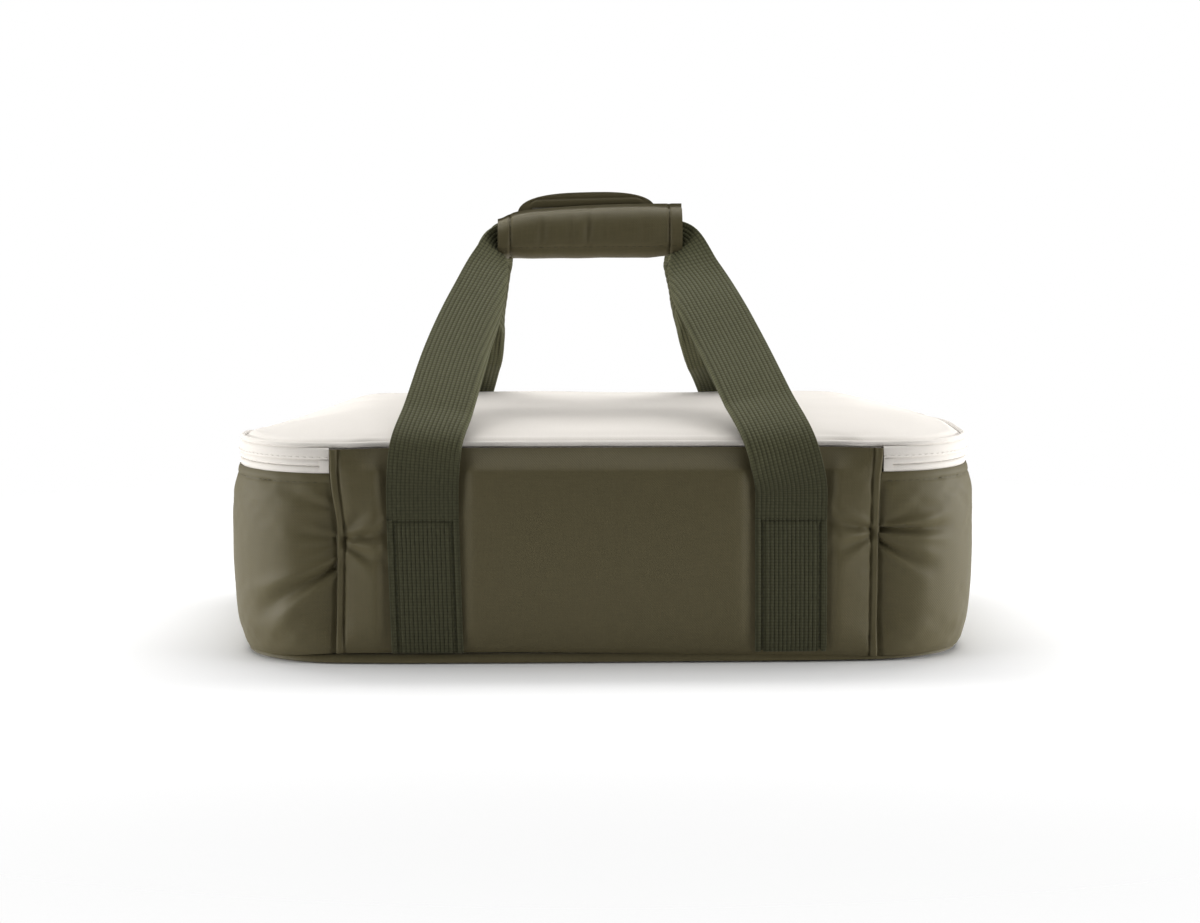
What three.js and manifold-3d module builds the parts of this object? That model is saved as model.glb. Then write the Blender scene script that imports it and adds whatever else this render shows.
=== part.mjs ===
// Insulated casserole carrier: a padded, zipped box bag with a hinged soft lid and two webbing
// handles that a padded wrap joins into one grip.
// Millimetres, +Z up. The origin is the centre of the base, on the surface it stands on.
// The back, where the lid is hinged, faces -Y. The front, where the zip sliders meet, faces +Y.
import * as THREE from 'three';
import { mergeVertices } from 'three/addons/utils/BufferGeometryUtils.js';
import Module from 'manifold-3d';

// Driving dimensions of the bag
const WIDTH = 396;
const DEPTH = 264;
const CORNER_RADIUS = 56;
const LID_SEAM_Z = 114.7;
const BASE_SEAM_Z = 5.5;
const WALL_BULGE = 1.5;
const WALL_TUCK = 4;
const BACK_ROLL = 1.2;
const SEAM_TURN_DEG = 4;
const LID_CROWN = 8;

// Layers of the walls, lid and base
const CLEARANCE = 0.3;
const FABRIC = 1;
const WALL_FOAM = 7;
const LID_FOAM = 8;
const BASE_FOAM = 6;
const LINER = 0.8;
const RIM_BINDING = 1;
const BASE_BOARD = 2.4;
const BASE_ROUNDING = 2;
const RIM_SWELL = 0.5;

// Zip and edge trims
const ZIP_DROP = 9;
const ZIP_REVEAL = 3.7;
const ZIP_SLOT = 1.4;
const ZIP_TAPE = 0.8;
const ZIP_TAPE_SEWN = 4;
const ZIP_COIL_WIDTH = 1.8;
const ZIP_COIL_HEIGHT = 2.1;
const ZIP_STOP_LENGTH = 5;
const PIPING_RADIUS = 1.6;
const PIPING_INSET = 2;
const HINGE_BINDING_HEIGHT = 7;

// Zip sliders and their pulls
const SLIDER_LENGTH = 11;
const SLIDER_PLATE = 1.3;
const SLIDER_SPACING = 17;
const CROWN_LENGTH = 6;
const CROWN_WIDTH = 2;
const CROWN_HEIGHT = 3.2;
const CROWN_HOLE_RADIUS = 0.9;
const PULL_LENGTH = 24;
const PULL_WIDTH = 6;
const PULL_THICKNESS = 1.2;
const PULL_ARM = 1;
const PULL_PIN_RADIUS = 0.6;

// Webbing handles
const WEBBING_WIDTH = 38;
const WEBBING = 1.8;
const STRAP_SPACING = 194;
const STITCH_TOP_Z = 77.5;
const KNEE_RISE = 5;
const BACK_LEG_LEAN = 2;
const FRONT_LEG_LEAN = 13;
const SHIN_LEAN_SHARE = 1 / 6;
const FOLDED_WIDTH = 17;
const LAYER_GAP = 0.6;
const BEND_REACH = 6;
const BEND_DROP = 13;
const MOUTH_REACH = 2;
const MOUTH_DROP = 2.6;
const LEG_SPREAD = 8;
const LEFT_LEG_BOW = 1;
const RIGHT_LEG_BOW = 8;

// Grip wrap that joins the two handles
const GRIP_LENGTH = 104;
const GRIP_CENTRE_Z = 223.5;
const GRIP_SHIFT = -6;
const GRIP_TILT_DEG = 1.4;
const GRIP_DEPTH = 32;
const GRIP_WALL = 4;
const GRIP_CORNER = 8;
const GRIP_BOTTOM_DROP = 14;
const GRIP_SHOULDER = 2;
const GRIP_LIP_RISE = 11.5;
const GRIP_LIP_HEIGHT = 4;
const GRIP_TAB_RISE = 23;
const GRIP_TAB_WIDTH = 80;
const GRIP_TAB_CORNER = 13;
const GRIP_HINGE_Y = 4;
const HOOK_TAPE = 0.8;
const HOOK_TAPE_HEIGHT = 4;
const HOOK_TAPE_LENGTH = 64;

// Fineness of the curved surfaces
const CORNER_STEPS = 9;
const WEBBING_STEPS = 7;
const PIPING_SIDES = 8;
const PIN_SIDES = 12;
const CURVE_STEPS = 6;
const WALL_RINGS = [0.1, 0.28, 0.6, 1];
const LID_RINGS = [1, 0.95, 0.86, 0.7, 0.45];

// Heights and offsets that follow. An offset is measured outwards from the footprint.
const ZIP_Z = LID_SEAM_Z - ZIP_DROP;
const WALL_TOP_Z = ZIP_Z - ZIP_REVEAL;
const BAND_BOTTOM_Z = ZIP_Z + ZIP_REVEAL;
const BAND_TOP_Z = LID_SEAM_Z - CLEARANCE;
const PIPING_Z = LID_SEAM_Z + CLEARANCE + PIPING_RADIUS;
const COVER_OFFSET = -PIPING_INSET - PIPING_RADIUS - CLEARANCE;
const FOAM_OFFSET = -FABRIC - CLEARANCE;
const LINER_OFFSET = FOAM_OFFSET - WALL_FOAM - CLEARANCE;
const COIL_OFFSET = FOAM_OFFSET - ZIP_TAPE - CLEARANCE;
const SLIDER_BACK_OFFSET = COIL_OFFSET - ZIP_COIL_WIDTH - CLEARANCE;
const LID_FOAM_OFFSET = SLIDER_BACK_OFFSET - SLIDER_PLATE - CLEARANCE;
const TAPE_BOTTOM_Z = WALL_TOP_Z - ZIP_TAPE_SEWN;
const FOAM_TOP_Z = TAPE_BOTTOM_Z - CLEARANCE;
const BOARD_Z = FABRIC + CLEARANCE;
const BASE_FOAM_Z = BOARD_Z + BASE_BOARD + CLEARANCE;
const LINER_FLOOR_Z = BASE_FOAM_Z + BASE_FOAM + CLEARANCE;
const LID_FOAM_Z = PIPING_Z - LID_FOAM;
const LID_LINER_Z = LID_FOAM_Z - CLEARANCE - LINER;
const PANEL_BOTTOM_Z = BASE_SEAM_Z + CLEARANCE;
const WALL_FOAM_Z = Math.max(BASE_FOAM_Z, PANEL_BOTTOM_Z);
const SEAM_TURN = SEAM_TURN_DEG / 90;
const CORNER_LENGTH = CORNER_RADIUS * Math.PI / 2;

// Colours
const OLIVE = { color: 0x56503a, roughness: 0.7, metalness: 0 };
const OLIVE_WEBBING = { color: 0x474a36, roughness: 0.85, metalness: 0 };
const CREAM = { color: 0xe9e2d3, roughness: 0.85, metalness: 0 };
const FOIL = { color: 0xb9bcc0, roughness: 0.35, metalness: 0.6 };
const WHITE_FOAM = { color: 0xeeeeea, roughness: 0.9, metalness: 0 };
const BLACK_BOARD = { color: 0x2c2d2e, roughness: 0.6, metalness: 0 };
const NICKEL = { color: 0x8d8f90, roughness: 0.35, metalness: 0.9 };
const DARK_TAPE = { color: 0x33342a, roughness: 0.95, metalness: 0 };

const wasm = await Module();
wasm.setup();

const carrier = new THREE.Group();

function addMesh(name, geometry, finish, parent = carrier) {
  const mesh = new THREE.Mesh(geometry, new THREE.MeshStandardMaterial(finish));
  mesh.name = name;
  parent.add(mesh);
}

// Closed surface from points and triangles, turned so that its faces point out
function closedGeometry(points, triangles) {
  const volume = triangles.reduce((sum, [a, b, c]) => {
    const normal = new THREE.Vector3().crossVectors(points[b], points[c]);
    return sum + points[a].dot(normal);
  }, 0);
  const facing = volume < 0 ? triangles.map(([a, b, c]) => [a, c, b]) : triangles;
  const geometry = new THREE.BufferGeometry().setFromPoints(points);
  geometry.setIndex(facing.flat());
  geometry.computeVertexNormals();
  return geometry;
}

// Skin over sections of equal point count, capped at both ends unless it closes on itself
function loft(sections, capTriangles, closed = false) {
  const count = sections[0].length;
  const triangles = [];
  const spans = closed ? sections.length : sections.length - 1;
  for (let i = 0; i < spans; i++) {
    const here = i * count;
    const next = ((i + 1) % sections.length) * count;
    for (let j = 0; j < count; j++) {
      const k = (j + 1) % count;
      triangles.push([here + j, next + j, next + k], [here + j, next + k, here + k]);
    }
  }
  if (!closed) {
    const last = (sections.length - 1) * count;
    for (const [a, b, c] of capTriangles) {
      triangles.push([a, b, c], [last + a, last + c, last + b]);
    }
  }
  return closedGeometry(sections.flat(), triangles);
}

// Joining and cutting of closed bodies
function solid(geometry) {
  const bare = geometry.clone();
  bare.deleteAttribute('normal');
  bare.deleteAttribute('uv');
  const merged = mergeVertices(bare);
  return new wasm.Manifold(new wasm.Mesh({
    numProp: 3,
    vertProperties: new Float32Array(merged.attributes.position.array),
    triVerts: new Uint32Array(merged.index.array),
  }));
}

function geometryOf(body) {
  const mesh = body.getMesh();
  const geometry = new THREE.BufferGeometry();
  geometry.setAttribute('position', new THREE.BufferAttribute(mesh.vertProperties, 3));
  geometry.setIndex(new THREE.BufferAttribute(mesh.triVerts, 1));
  geometry.computeVertexNormals();
  return geometry;
}

// Box between two opposite corners, given in either order
function box(low, high) {
  const size = high.map((value, axis) => Math.abs(value - low[axis]));
  const middle = high.map((value, axis) => (value + low[axis]) / 2);
  return new THREE.BoxGeometry(...size).translate(...middle);
}

// Footprint: a rounded rectangle walked anticlockwise from the back right corner. A turn counts
// corners, so 0.5 is halfway round the back right corner and 2.5 halfway round the front left one.
const HALF_X = WIDTH / 2 - CORNER_RADIUS;
const HALF_Y = DEPTH / 2 - CORNER_RADIUS;
const CORNERS = [[HALF_X, -HALF_Y], [HALF_X, HALF_Y], [-HALF_X, HALF_Y], [-HALF_X, -HALF_Y]];
const FULL_TURN = CORNERS.length;
const FRONT_TURN = FULL_TURN / 2;

function stationAt(corner, fraction) {
  const [x, y] = CORNERS[corner % FULL_TURN];
  const angle = (corner - 1 + fraction) * Math.PI / 2;
  const normal = new THREE.Vector2(Math.cos(angle), Math.sin(angle));
  return { x: x + CORNER_RADIUS * normal.x, y: y + CORNER_RADIUS * normal.y, normal };
}

function walk(from, to) {
  const list = [];
  for (let corner = Math.floor(from); corner < to; corner++) {
    const first = Math.max(0, from - corner);
    const last = Math.min(1, to - corner);
    const steps = Math.max(1, Math.round((last - first) * CORNER_STEPS));
    for (let i = 0; i <= steps; i++) {
      list.push(stationAt(corner, first + (last - first) * i / steps));
    }
  }
  return list;
}

// Straight stretch of the front (side 1) or back (side -1)
function straightWalk(side, fromX, toX) {
  const normal = new THREE.Vector2(0, side);
  return [fromX, toX].map((x) => ({ x, y: side * DEPTH / 2, normal }));
}

const RING = walk(0, FULL_TURN);
const HALF_SEAM_GAP = CLEARANCE / CORNER_LENGTH / 2;
const ZIP_START = SEAM_TURN + HALF_SEAM_GAP;
const ZIP_END = FULL_TURN - ZIP_START;
const ZIP_WALK = walk(ZIP_START, ZIP_END);

function offsetPoint(station, offset, z, scale = 1) {
  const x = scale * (station.x + station.normal.x * offset);
  const y = scale * (station.y + station.normal.y * offset);
  return new THREE.Vector3(x, y, z);
}

// Strip that follows the footprint, from a closed profile of [offset, z] points
function strip(profile, stations, closed = false) {
  const outline = profile.map(([offset, z]) => new THREE.Vector2(offset, z));
  const caps = THREE.ShapeUtils.triangulateShape(outline, []);
  const sections = stations.map((s) => profile.map(([offset, z]) => offsetPoint(s, offset, z)));
  return loft(sections, caps, closed);
}

function boxProfile(outer, inner, bottom, top) {
  return [[outer, bottom], [outer, top], [inner, top], [inner, bottom]];
}

// Closed body over the whole footprint, from rings of { offset, z, scale } listed from the
// underside's middle, out round the edge and back to the middle of the top
function ringBody(rings, bottomZ, topZ) {
  const count = RING.length;
  const points = rings.flatMap(({ offset, z, scale = 1 }) =>
    RING.map((station) => offsetPoint(station, offset, z, scale)));
  const triangles = [];
  for (let i = 0; i < rings.length - 1; i++) {
    const here = i * count;
    const next = here + count;
    for (let j = 0; j < count; j++) {
      const k = (j + 1) % count;
      triangles.push([here + j, here + k, next + k], [here + j, next + k, next + j]);
    }
  }
  const last = (rings.length - 1) * count;
  const bottom = points.push(new THREE.Vector3(0, 0, bottomZ)) - 1;
  const top = points.push(new THREE.Vector3(0, 0, topZ)) - 1;
  for (let j = 0; j < count; j++) {
    const k = (j + 1) % count;
    triangles.push([bottom, k, j], [top, last + j, last + k]);
  }
  return closedGeometry(points, triangles);
}

function plate(offset, bottom, top) {
  return ringBody([{ offset, z: bottom }, { offset, z: top }], bottom, top);
}

// How far the padded wall stands out from the footprint at a height. Above the zipped walls the
// back panel rolls in towards the lid.
function wallOffset(z) {
  if (z > WALL_TOP_Z) {
    return -BACK_ROLL * ((z - WALL_TOP_Z) / (LID_SEAM_Z - WALL_TOP_Z)) ** 2;
  }
  const share = Math.max(0, (z - BASE_SEAM_Z) / (WALL_TOP_Z - BASE_SEAM_Z));
  return WALL_BULGE * Math.sin(Math.PI * share) - WALL_TUCK * (1 - share) ** 3;
}

const WALL_LEVELS = [
  ...WALL_RINGS.map((share) => BASE_SEAM_Z + share * (WALL_TOP_Z - BASE_SEAM_Z)),
  (WALL_TOP_Z + LID_SEAM_Z) / 2,
];

function wallProfile(outer, inner, bottom, top) {
  const between = WALL_LEVELS.filter((z) => z > bottom + FABRIC && z < top - FABRIC);
  const heights = [bottom, ...between, top];
  const outerSide = heights.map((z) => [wallOffset(z) + outer, z]);
  const innerSide = heights.map((z) => [wallOffset(z) + inner, z]).reverse();
  return [...outerSide, ...innerSide];
}

// Walls: four outer panels that meet at seams just round the corners, each backed by its foam
const WALLS = [
  { name: 'right_end', from: SEAM_TURN, to: FRONT_TURN - SEAM_TURN, top: WALL_TOP_Z },
  { name: 'front', from: FRONT_TURN - SEAM_TURN, to: FRONT_TURN + SEAM_TURN, top: WALL_TOP_Z },
  { name: 'left_end', from: FRONT_TURN + SEAM_TURN, to: FULL_TURN - SEAM_TURN, top: WALL_TOP_Z },
  { name: 'back', from: FULL_TURN - SEAM_TURN, to: FULL_TURN + SEAM_TURN, top: LID_SEAM_Z },
];
for (const { name, from, to, top } of WALLS) {
  const stations = walk(from + HALF_SEAM_GAP, to - HALF_SEAM_GAP);
  addMesh(`${name}_panel`, strip(wallProfile(0, -FABRIC, PANEL_BOTTOM_Z, top), stations), OLIVE);
  const foam = wallProfile(FOAM_OFFSET, FOAM_OFFSET - WALL_FOAM, WALL_FOAM_Z, FOAM_TOP_Z);
  addMesh(`${name}_foam`, strip(foam, stations), WHITE_FOAM);
}

// Base: a shallow outer tray whose rim is sewn to the walls, a stiff board and foam
const RIM_OFFSET = wallOffset(BASE_SEAM_Z);
const RIM_KNUCKLE_Z = BASE_SEAM_Z / 3;
const TRAY_FLOOR_OFFSET = RIM_OFFSET - BASE_ROUNDING;
addMesh('base_panel', ringBody([
  { offset: TRAY_FLOOR_OFFSET, z: 0 },
  { offset: RIM_OFFSET - RIM_SWELL, z: RIM_KNUCKLE_Z },
  { offset: RIM_OFFSET, z: BASE_SEAM_Z },
  { offset: RIM_OFFSET - FABRIC, z: BASE_SEAM_Z },
  { offset: TRAY_FLOOR_OFFSET - FABRIC / 2, z: FABRIC },
], 0, FABRIC), OLIVE);
addMesh('base_board', plate(TRAY_FLOOR_OFFSET - FABRIC, BOARD_Z, BOARD_Z + BASE_BOARD), BLACK_BOARD);
const baseFoamOffset = wallOffset(BASE_FOAM_Z) + LINER_OFFSET;
addMesh('base_foam', plate(baseFoamOffset, BASE_FOAM_Z, BASE_FOAM_Z + BASE_FOAM), WHITE_FOAM);

// Lining: a floor, a wall all round that stands on it, and a binding over the foam's top edge
const floorOffset = wallOffset(LINER_FLOOR_Z) + LINER_OFFSET;
const linerBottom = LINER_FLOOR_Z + LINER + CLEARANCE;
const linerProfile = wallProfile(LINER_OFFSET, LINER_OFFSET - LINER, linerBottom, FOAM_TOP_Z);
addMesh('liner_floor', plate(floorOffset, LINER_FLOOR_Z, LINER_FLOOR_Z + LINER), FOIL);
addMesh('liner_wall', strip(linerProfile, RING, true), FOIL);
addMesh('rim_binding', strip(
  boxProfile(COIL_OFFSET, LINER_OFFSET - LINER, TAPE_BOTTOM_Z, TAPE_BOTTOM_Z + RIM_BINDING),
  RING,
  true,
), OLIVE);

// Zip: one tape and coil on the walls and one of each on the lid, with a stop at each end
const SLOT_BOTTOM_Z = ZIP_Z - ZIP_SLOT / 2;
const SLOT_TOP_Z = ZIP_Z + ZIP_SLOT / 2;
const TAPE_TOP_Z = BAND_BOTTOM_Z + ZIP_TAPE_SEWN;
const tapeInner = FOAM_OFFSET - ZIP_TAPE;
const coilInner = COIL_OFFSET - ZIP_COIL_WIDTH;
const coilBottom = SLOT_BOTTOM_Z - ZIP_COIL_HEIGHT;
const coilTop = SLOT_TOP_Z + ZIP_COIL_HEIGHT;
const lowerTape = boxProfile(FOAM_OFFSET, tapeInner, TAPE_BOTTOM_Z, SLOT_BOTTOM_Z);
const upperTape = boxProfile(FOAM_OFFSET, tapeInner, SLOT_TOP_Z, TAPE_TOP_Z);
const lowerCoil = boxProfile(COIL_OFFSET, coilInner, coilBottom, SLOT_BOTTOM_Z);
const upperCoil = boxProfile(COIL_OFFSET, coilInner, SLOT_TOP_Z, coilTop);
addMesh('lower_zip_tape', strip(lowerTape, ZIP_WALK), CREAM);
addMesh('upper_zip_tape', strip(upperTape, ZIP_WALK), CREAM);
addMesh('lower_zip_coil', strip(lowerCoil, ZIP_WALK), CREAM);
addMesh('upper_zip_coil', strip(upperCoil, ZIP_WALK), CREAM);

const STOP_TURN = ZIP_STOP_LENGTH / CORNER_LENGTH;
const stopProfile = boxProfile(
  0,
  CLEARANCE - FABRIC,
  WALL_TOP_Z + CLEARANCE,
  BAND_BOTTOM_Z - CLEARANCE,
);
addMesh('right_zip_stop', strip(stopProfile, walk(ZIP_START, ZIP_START + STOP_TURN)), CREAM);
addMesh('left_zip_stop', strip(stopProfile, walk(ZIP_END - STOP_TURN, ZIP_END)), CREAM);

// Binding inside the back panel's top edge, where it is sewn to the lid
const bindingProfile = wallProfile(
  FOAM_OFFSET,
  FOAM_OFFSET - ZIP_TAPE,
  LID_SEAM_Z - HINGE_BINDING_HEIGHT,
  LID_SEAM_Z,
);
const backWalk = walk(FULL_TURN - SEAM_TURN + HALF_SEAM_GAP, FULL_TURN + SEAM_TURN - HALF_SEAM_GAP);
addMesh('hinge_binding', strip(bindingProfile, backWalk), CREAM);

// Lid: a crowned cover inside a piped edge, its side band, foam and lining
function crown(scale) {
  return LID_CROWN * (1 - scale ** 2);
}

function domeRings(offset, z) {
  return LID_RINGS.map((scale) => ({ offset, z: z + crown(scale), scale }));
}

const COVER_BOTTOM_Z = PIPING_Z - FABRIC / 2;
const COVER_TOP_Z = PIPING_Z + FABRIC / 2;
addMesh('lid_cover', ringBody(
  [...domeRings(COVER_OFFSET, COVER_BOTTOM_Z).reverse(), ...domeRings(COVER_OFFSET, COVER_TOP_Z)],
  COVER_BOTTOM_Z + LID_CROWN,
  COVER_TOP_Z + LID_CROWN,
), CREAM);

const foamTopZ = COVER_BOTTOM_Z - CLEARANCE;
addMesh('lid_foam', ringBody(
  [{ offset: LID_FOAM_OFFSET, z: LID_FOAM_Z }, ...domeRings(LID_FOAM_OFFSET, foamTopZ)],
  LID_FOAM_Z,
  foamTopZ + LID_CROWN,
), WHITE_FOAM);
addMesh('lid_liner', plate(LID_FOAM_OFFSET, LID_LINER_Z, LID_LINER_Z + LINER), FOIL);
addMesh('lid_band', strip(boxProfile(0, -FABRIC, BAND_BOTTOM_Z, BAND_TOP_Z), ZIP_WALK), CREAM);

const pipingProfile = Array.from({ length: PIPING_SIDES }, (_, i) => {
  const angle = (i + 0.5) / PIPING_SIDES * 2 * Math.PI;
  const reach = PIPING_RADIUS / Math.cos(Math.PI / PIPING_SIDES);
  return [-PIPING_INSET + reach * Math.cos(angle), PIPING_Z + reach * Math.sin(angle)];
});
addMesh('lid_piping', strip(pipingProfile, RING, true), CREAM);

// Webbing ends, sewn flat to the back and front panels below the stitch line
const SIDES = [['left', -1], ['right', 1]];
const FACES = [['back', -1], ['front', 1]];
const STRAP_X = STRAP_SPACING / 2;
for (const [faceName, face] of FACES) {
  for (const [sideName, side] of SIDES) {
    const profile = wallProfile(CLEARANCE + WEBBING, CLEARANCE, PANEL_BOTTOM_Z, STITCH_TOP_Z);
    const middle = side * STRAP_X;
    const stations = straightWalk(face, middle - WEBBING_WIDTH / 2, middle + WEBBING_WIDTH / 2);
    addMesh(`${faceName}_${sideName}_strap`, strip(profile, stations), OLIVE_WEBBING);
  }
}

// Grip frame: the wrap's own axes, along the grip, front to back and up
const grip = new THREE.Group();
grip.position.set(GRIP_SHIFT, 0, GRIP_CENTRE_Z);
grip.rotation.y = -THREE.MathUtils.degToRad(GRIP_TILT_DEG);
grip.updateMatrixWorld();
carrier.add(grip);

// Handles: each is one length of webbing that rises from its two stitch lines, leans in over the
// lid, twists a quarter turn on the way up and runs folded through the grip wrap
const FOLDED = 2 * WEBBING;
const GRIP_FLOOR = GRIP_WALL - GRIP_BOTTOM_DROP;
const LEG_SHARES = [1 / 3, 2 / 3];

// Places along a leg, counted in route points from the stitch line
const KNEE_POINT = 2;
const LEFT_TWIST_POINT = KNEE_POINT;
const RIGHT_TWIST_POINT = KNEE_POINT + 1;
const FOLD_POINT = KNEE_POINT + LEG_SHARES.length;
const BEND_POINT = FOLD_POINT + 2;

function legPoints(face, side, layer, reach, lean) {
  const wall = face * (DEPTH / 2 + wallOffset(STITCH_TOP_Z) + CLEARANCE + WEBBING / 2);
  const kneeZ = LID_SEAM_Z + KNEE_RISE;
  const foot = new THREE.Vector3(side * STRAP_X, wall, STITCH_TOP_Z + CLEARANCE);
  const knee = new THREE.Vector3(side * (STRAP_X - lean), wall, kneeZ);
  const shin = new THREE.Vector3(side * (STRAP_X - lean * SHIN_LEAN_SHARE), wall, (foot.z + kneeZ) / 2);
  const inGrip = (x, y, z) => new THREE.Vector3(side * x, face * y, z).applyMatrix4(grip.matrix);
  const end = GRIP_LENGTH / 2;
  const mouth = end + CLEARANCE + reach;
  const bow = new THREE.Vector3(-side * (side < 0 ? LEFT_LEG_BOW : RIGHT_LEG_BOW), 0, 0);
  const top = inGrip(mouth + BEND_REACH, LEG_SPREAD, layer - BEND_DROP);
  return [
    foot,
    shin,
    knee,
    ...LEG_SHARES.map((share) => knee.clone().lerp(top, share).add(bow)),
    top,
    inGrip(mouth + MOUTH_REACH, 0, layer - MOUTH_DROP),
    inGrip(mouth, 0, layer),
    inGrip(end - FOLDED_WIDTH / 2, 0, layer),
  ];
}

function handleWebbing(face, layer, reach, lean) {
  const middle = new THREE.Vector3(0, 0, layer).applyMatrix4(grip.matrix);
  const left = legPoints(face, -1, layer, reach, lean);
  const right = legPoints(face, 1, layer, reach, lean).reverse();
  const route = new THREE.CatmullRomCurve3([...left, middle, ...right]);
  const spans = left.length + right.length;
  const steps = spans * WEBBING_STEPS;
  const sections = [];
  for (let i = 0; i <= steps; i++) {
    const along = i / WEBBING_STEPS;
    const fromEnd = Math.min(along, spans - along);
    const onLeft = along < spans / 2;
    const twistStart = onLeft ? LEFT_TWIST_POINT : RIGHT_TWIST_POINT;
    const twist = THREE.MathUtils.smoothstep(fromEnd, twistStart, BEND_POINT) * Math.PI / 2;
    const turn = onLeft ? twist : Math.PI - twist;
    const fold = THREE.MathUtils.smoothstep(fromEnd, FOLD_POINT, BEND_POINT);
    const halfWidth = THREE.MathUtils.lerp(WEBBING_WIDTH, FOLDED_WIDTH, fold) / 2;
    const halfDepth = THREE.MathUtils.lerp(WEBBING, FOLDED, fold) / 2;
    const point = route.getPoint(i / steps);
    const tangent = route.getTangent(i / steps);
    if (fromEnd === 0) {
      tangent.set(0, 0, Math.sign(tangent.z));
    }
    const across = new THREE.Vector3(Math.cos(turn), face * Math.sin(turn), 0);
    across.addScaledVector(tangent, -across.dot(tangent)).normalize();
    const normal = new THREE.Vector3().crossVectors(across, tangent);
    sections.push([[1, 1], [-1, 1], [-1, -1], [1, -1]].map(([u, v]) =>
      point.clone().addScaledVector(across, u * halfWidth).addScaledVector(normal, v * halfDepth)));
  }
  return loft(sections, [[0, 1, 2], [0, 2, 3]]);
}

const lowerLayer = GRIP_FLOOR + CLEARANCE + FOLDED / 2;
const upperLayer = lowerLayer + FOLDED + LAYER_GAP;
const innerReach = WEBBING;
const outerReach = innerReach + FOLDED + WEBBING;
addMesh('back_handle_webbing', handleWebbing(-1, lowerLayer, innerReach, BACK_LEG_LEAN), OLIVE_WEBBING);
addMesh('front_handle_webbing', handleWebbing(1, upperLayer, outerReach, FRONT_LEG_LEAN), OLIVE_WEBBING);

// Grip wrap: a padded front with its floor, and a rear flap hinged to the floor. Both profiles are
// drawn front to back and up, and run along the grip.
const ALONG_GRIP = new THREE.Matrix4().makeBasis(
  new THREE.Vector3(0, 1, 0),
  new THREE.Vector3(0, 0, 1),
  new THREE.Vector3(1, 0, 0),
);
const FACING_BACK = new THREE.Matrix4().makeBasis(
  new THREE.Vector3(1, 0, 0),
  new THREE.Vector3(0, 0, 1),
  new THREE.Vector3(0, -1, 0),
);

// Half of the wrap on one side of its middle plane, from its floor edge up to its lip or tab
function wrapHalf(side, floorEdge, topZ) {
  const outer = GRIP_DEPTH / 2;
  const inner = outer - GRIP_WALL;
  const bottom = -GRIP_BOTTOM_DROP;
  const lipInner = 3 * CLEARANCE / 2 + HOOK_TAPE;
  const lipOuter = lipInner + GRIP_WALL;
  const lipZ = GRIP_LIP_RISE - GRIP_LIP_HEIGHT;
  const cornerZ = bottom + GRIP_CORNER;
  const shape = new THREE.Shape();
  shape.moveTo(side * floorEdge, bottom);
  shape.lineTo(side * (outer - GRIP_CORNER), bottom);
  shape.quadraticCurveTo(side * outer, bottom, side * outer, cornerZ);
  shape.lineTo(side * outer, GRIP_SHOULDER);
  shape.quadraticCurveTo(side * outer, lipZ, side * lipOuter, lipZ + GRIP_LIP_HEIGHT / 2);
  shape.lineTo(side * lipOuter, topZ);
  shape.lineTo(side * lipInner, topZ);
  shape.lineTo(side * lipInner, lipZ);
  shape.quadraticCurveTo(side * inner, lipZ - GRIP_WALL, side * inner, GRIP_SHOULDER - GRIP_WALL);
  shape.lineTo(side * inner, cornerZ);
  shape.quadraticCurveTo(side * inner, GRIP_FLOOR, side * (outer - GRIP_CORNER), GRIP_FLOOR);
  shape.lineTo(side * floorEdge, GRIP_FLOOR);
  const options = { depth: GRIP_LENGTH, bevelEnabled: false, curveSegments: CURVE_STEPS };
  const geometry = new THREE.ExtrudeGeometry(shape, options);
  return geometry.translate(0, 0, -GRIP_LENGTH / 2).applyMatrix4(ALONG_GRIP);
}

// Outline of the flap seen from behind: full length below, a round-cornered tab above the lip
function flapOutline() {
  const end = GRIP_LENGTH / 2;
  const tab = GRIP_TAB_WIDTH / 2;
  const shoulder = GRIP_LIP_RISE - GRIP_LIP_HEIGHT;
  const cornerX = tab - GRIP_TAB_CORNER;
  const cornerZ = GRIP_TAB_RISE - GRIP_TAB_CORNER;
  const shape = new THREE.Shape();
  shape.moveTo(-end, -2 * GRIP_BOTTOM_DROP);
  shape.lineTo(end, -2 * GRIP_BOTTOM_DROP);
  shape.lineTo(end, shoulder);
  shape.lineTo(tab, Math.max(shoulder, cornerZ));
  shape.absarc(cornerX, cornerZ, GRIP_TAB_CORNER, 0, Math.PI / 2);
  shape.absarc(-cornerX, cornerZ, GRIP_TAB_CORNER, Math.PI / 2, Math.PI);
  shape.lineTo(-end, shoulder);
  const options = { depth: 2 * GRIP_DEPTH, bevelEnabled: false, curveSegments: CURVE_STEPS };
  return new THREE.ExtrudeGeometry(shape, options).translate(0, 0, -GRIP_DEPTH).applyMatrix4(FACING_BACK);
}

addMesh('grip_pad', wrapHalf(-1, -GRIP_HINGE_Y, GRIP_LIP_RISE), OLIVE, grip);
const flapBlank = solid(wrapHalf(1, GRIP_HINGE_Y + CLEARANCE, GRIP_TAB_RISE));
addMesh('grip_flap', geometryOf(flapBlank.intersect(solid(flapOutline()))), OLIVE, grip);

// Hook and loop tapes that face each other between the lip and the flap
const tapeHigh = GRIP_LIP_RISE - CLEARANCE;
const tapeLow = tapeHigh - HOOK_TAPE_HEIGHT;
for (const [name, side] of [['grip_loop_tape', -1], ['grip_hook_tape', 1]]) {
  const near = side * CLEARANCE / 2;
  const far = near + side * HOOK_TAPE;
  const halfLength = HOOK_TAPE_LENGTH / 2;
  addMesh(name, box([-halfLength, near, tapeLow], [halfLength, far, tapeHigh]), DARK_TAPE, grip);
}

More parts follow.
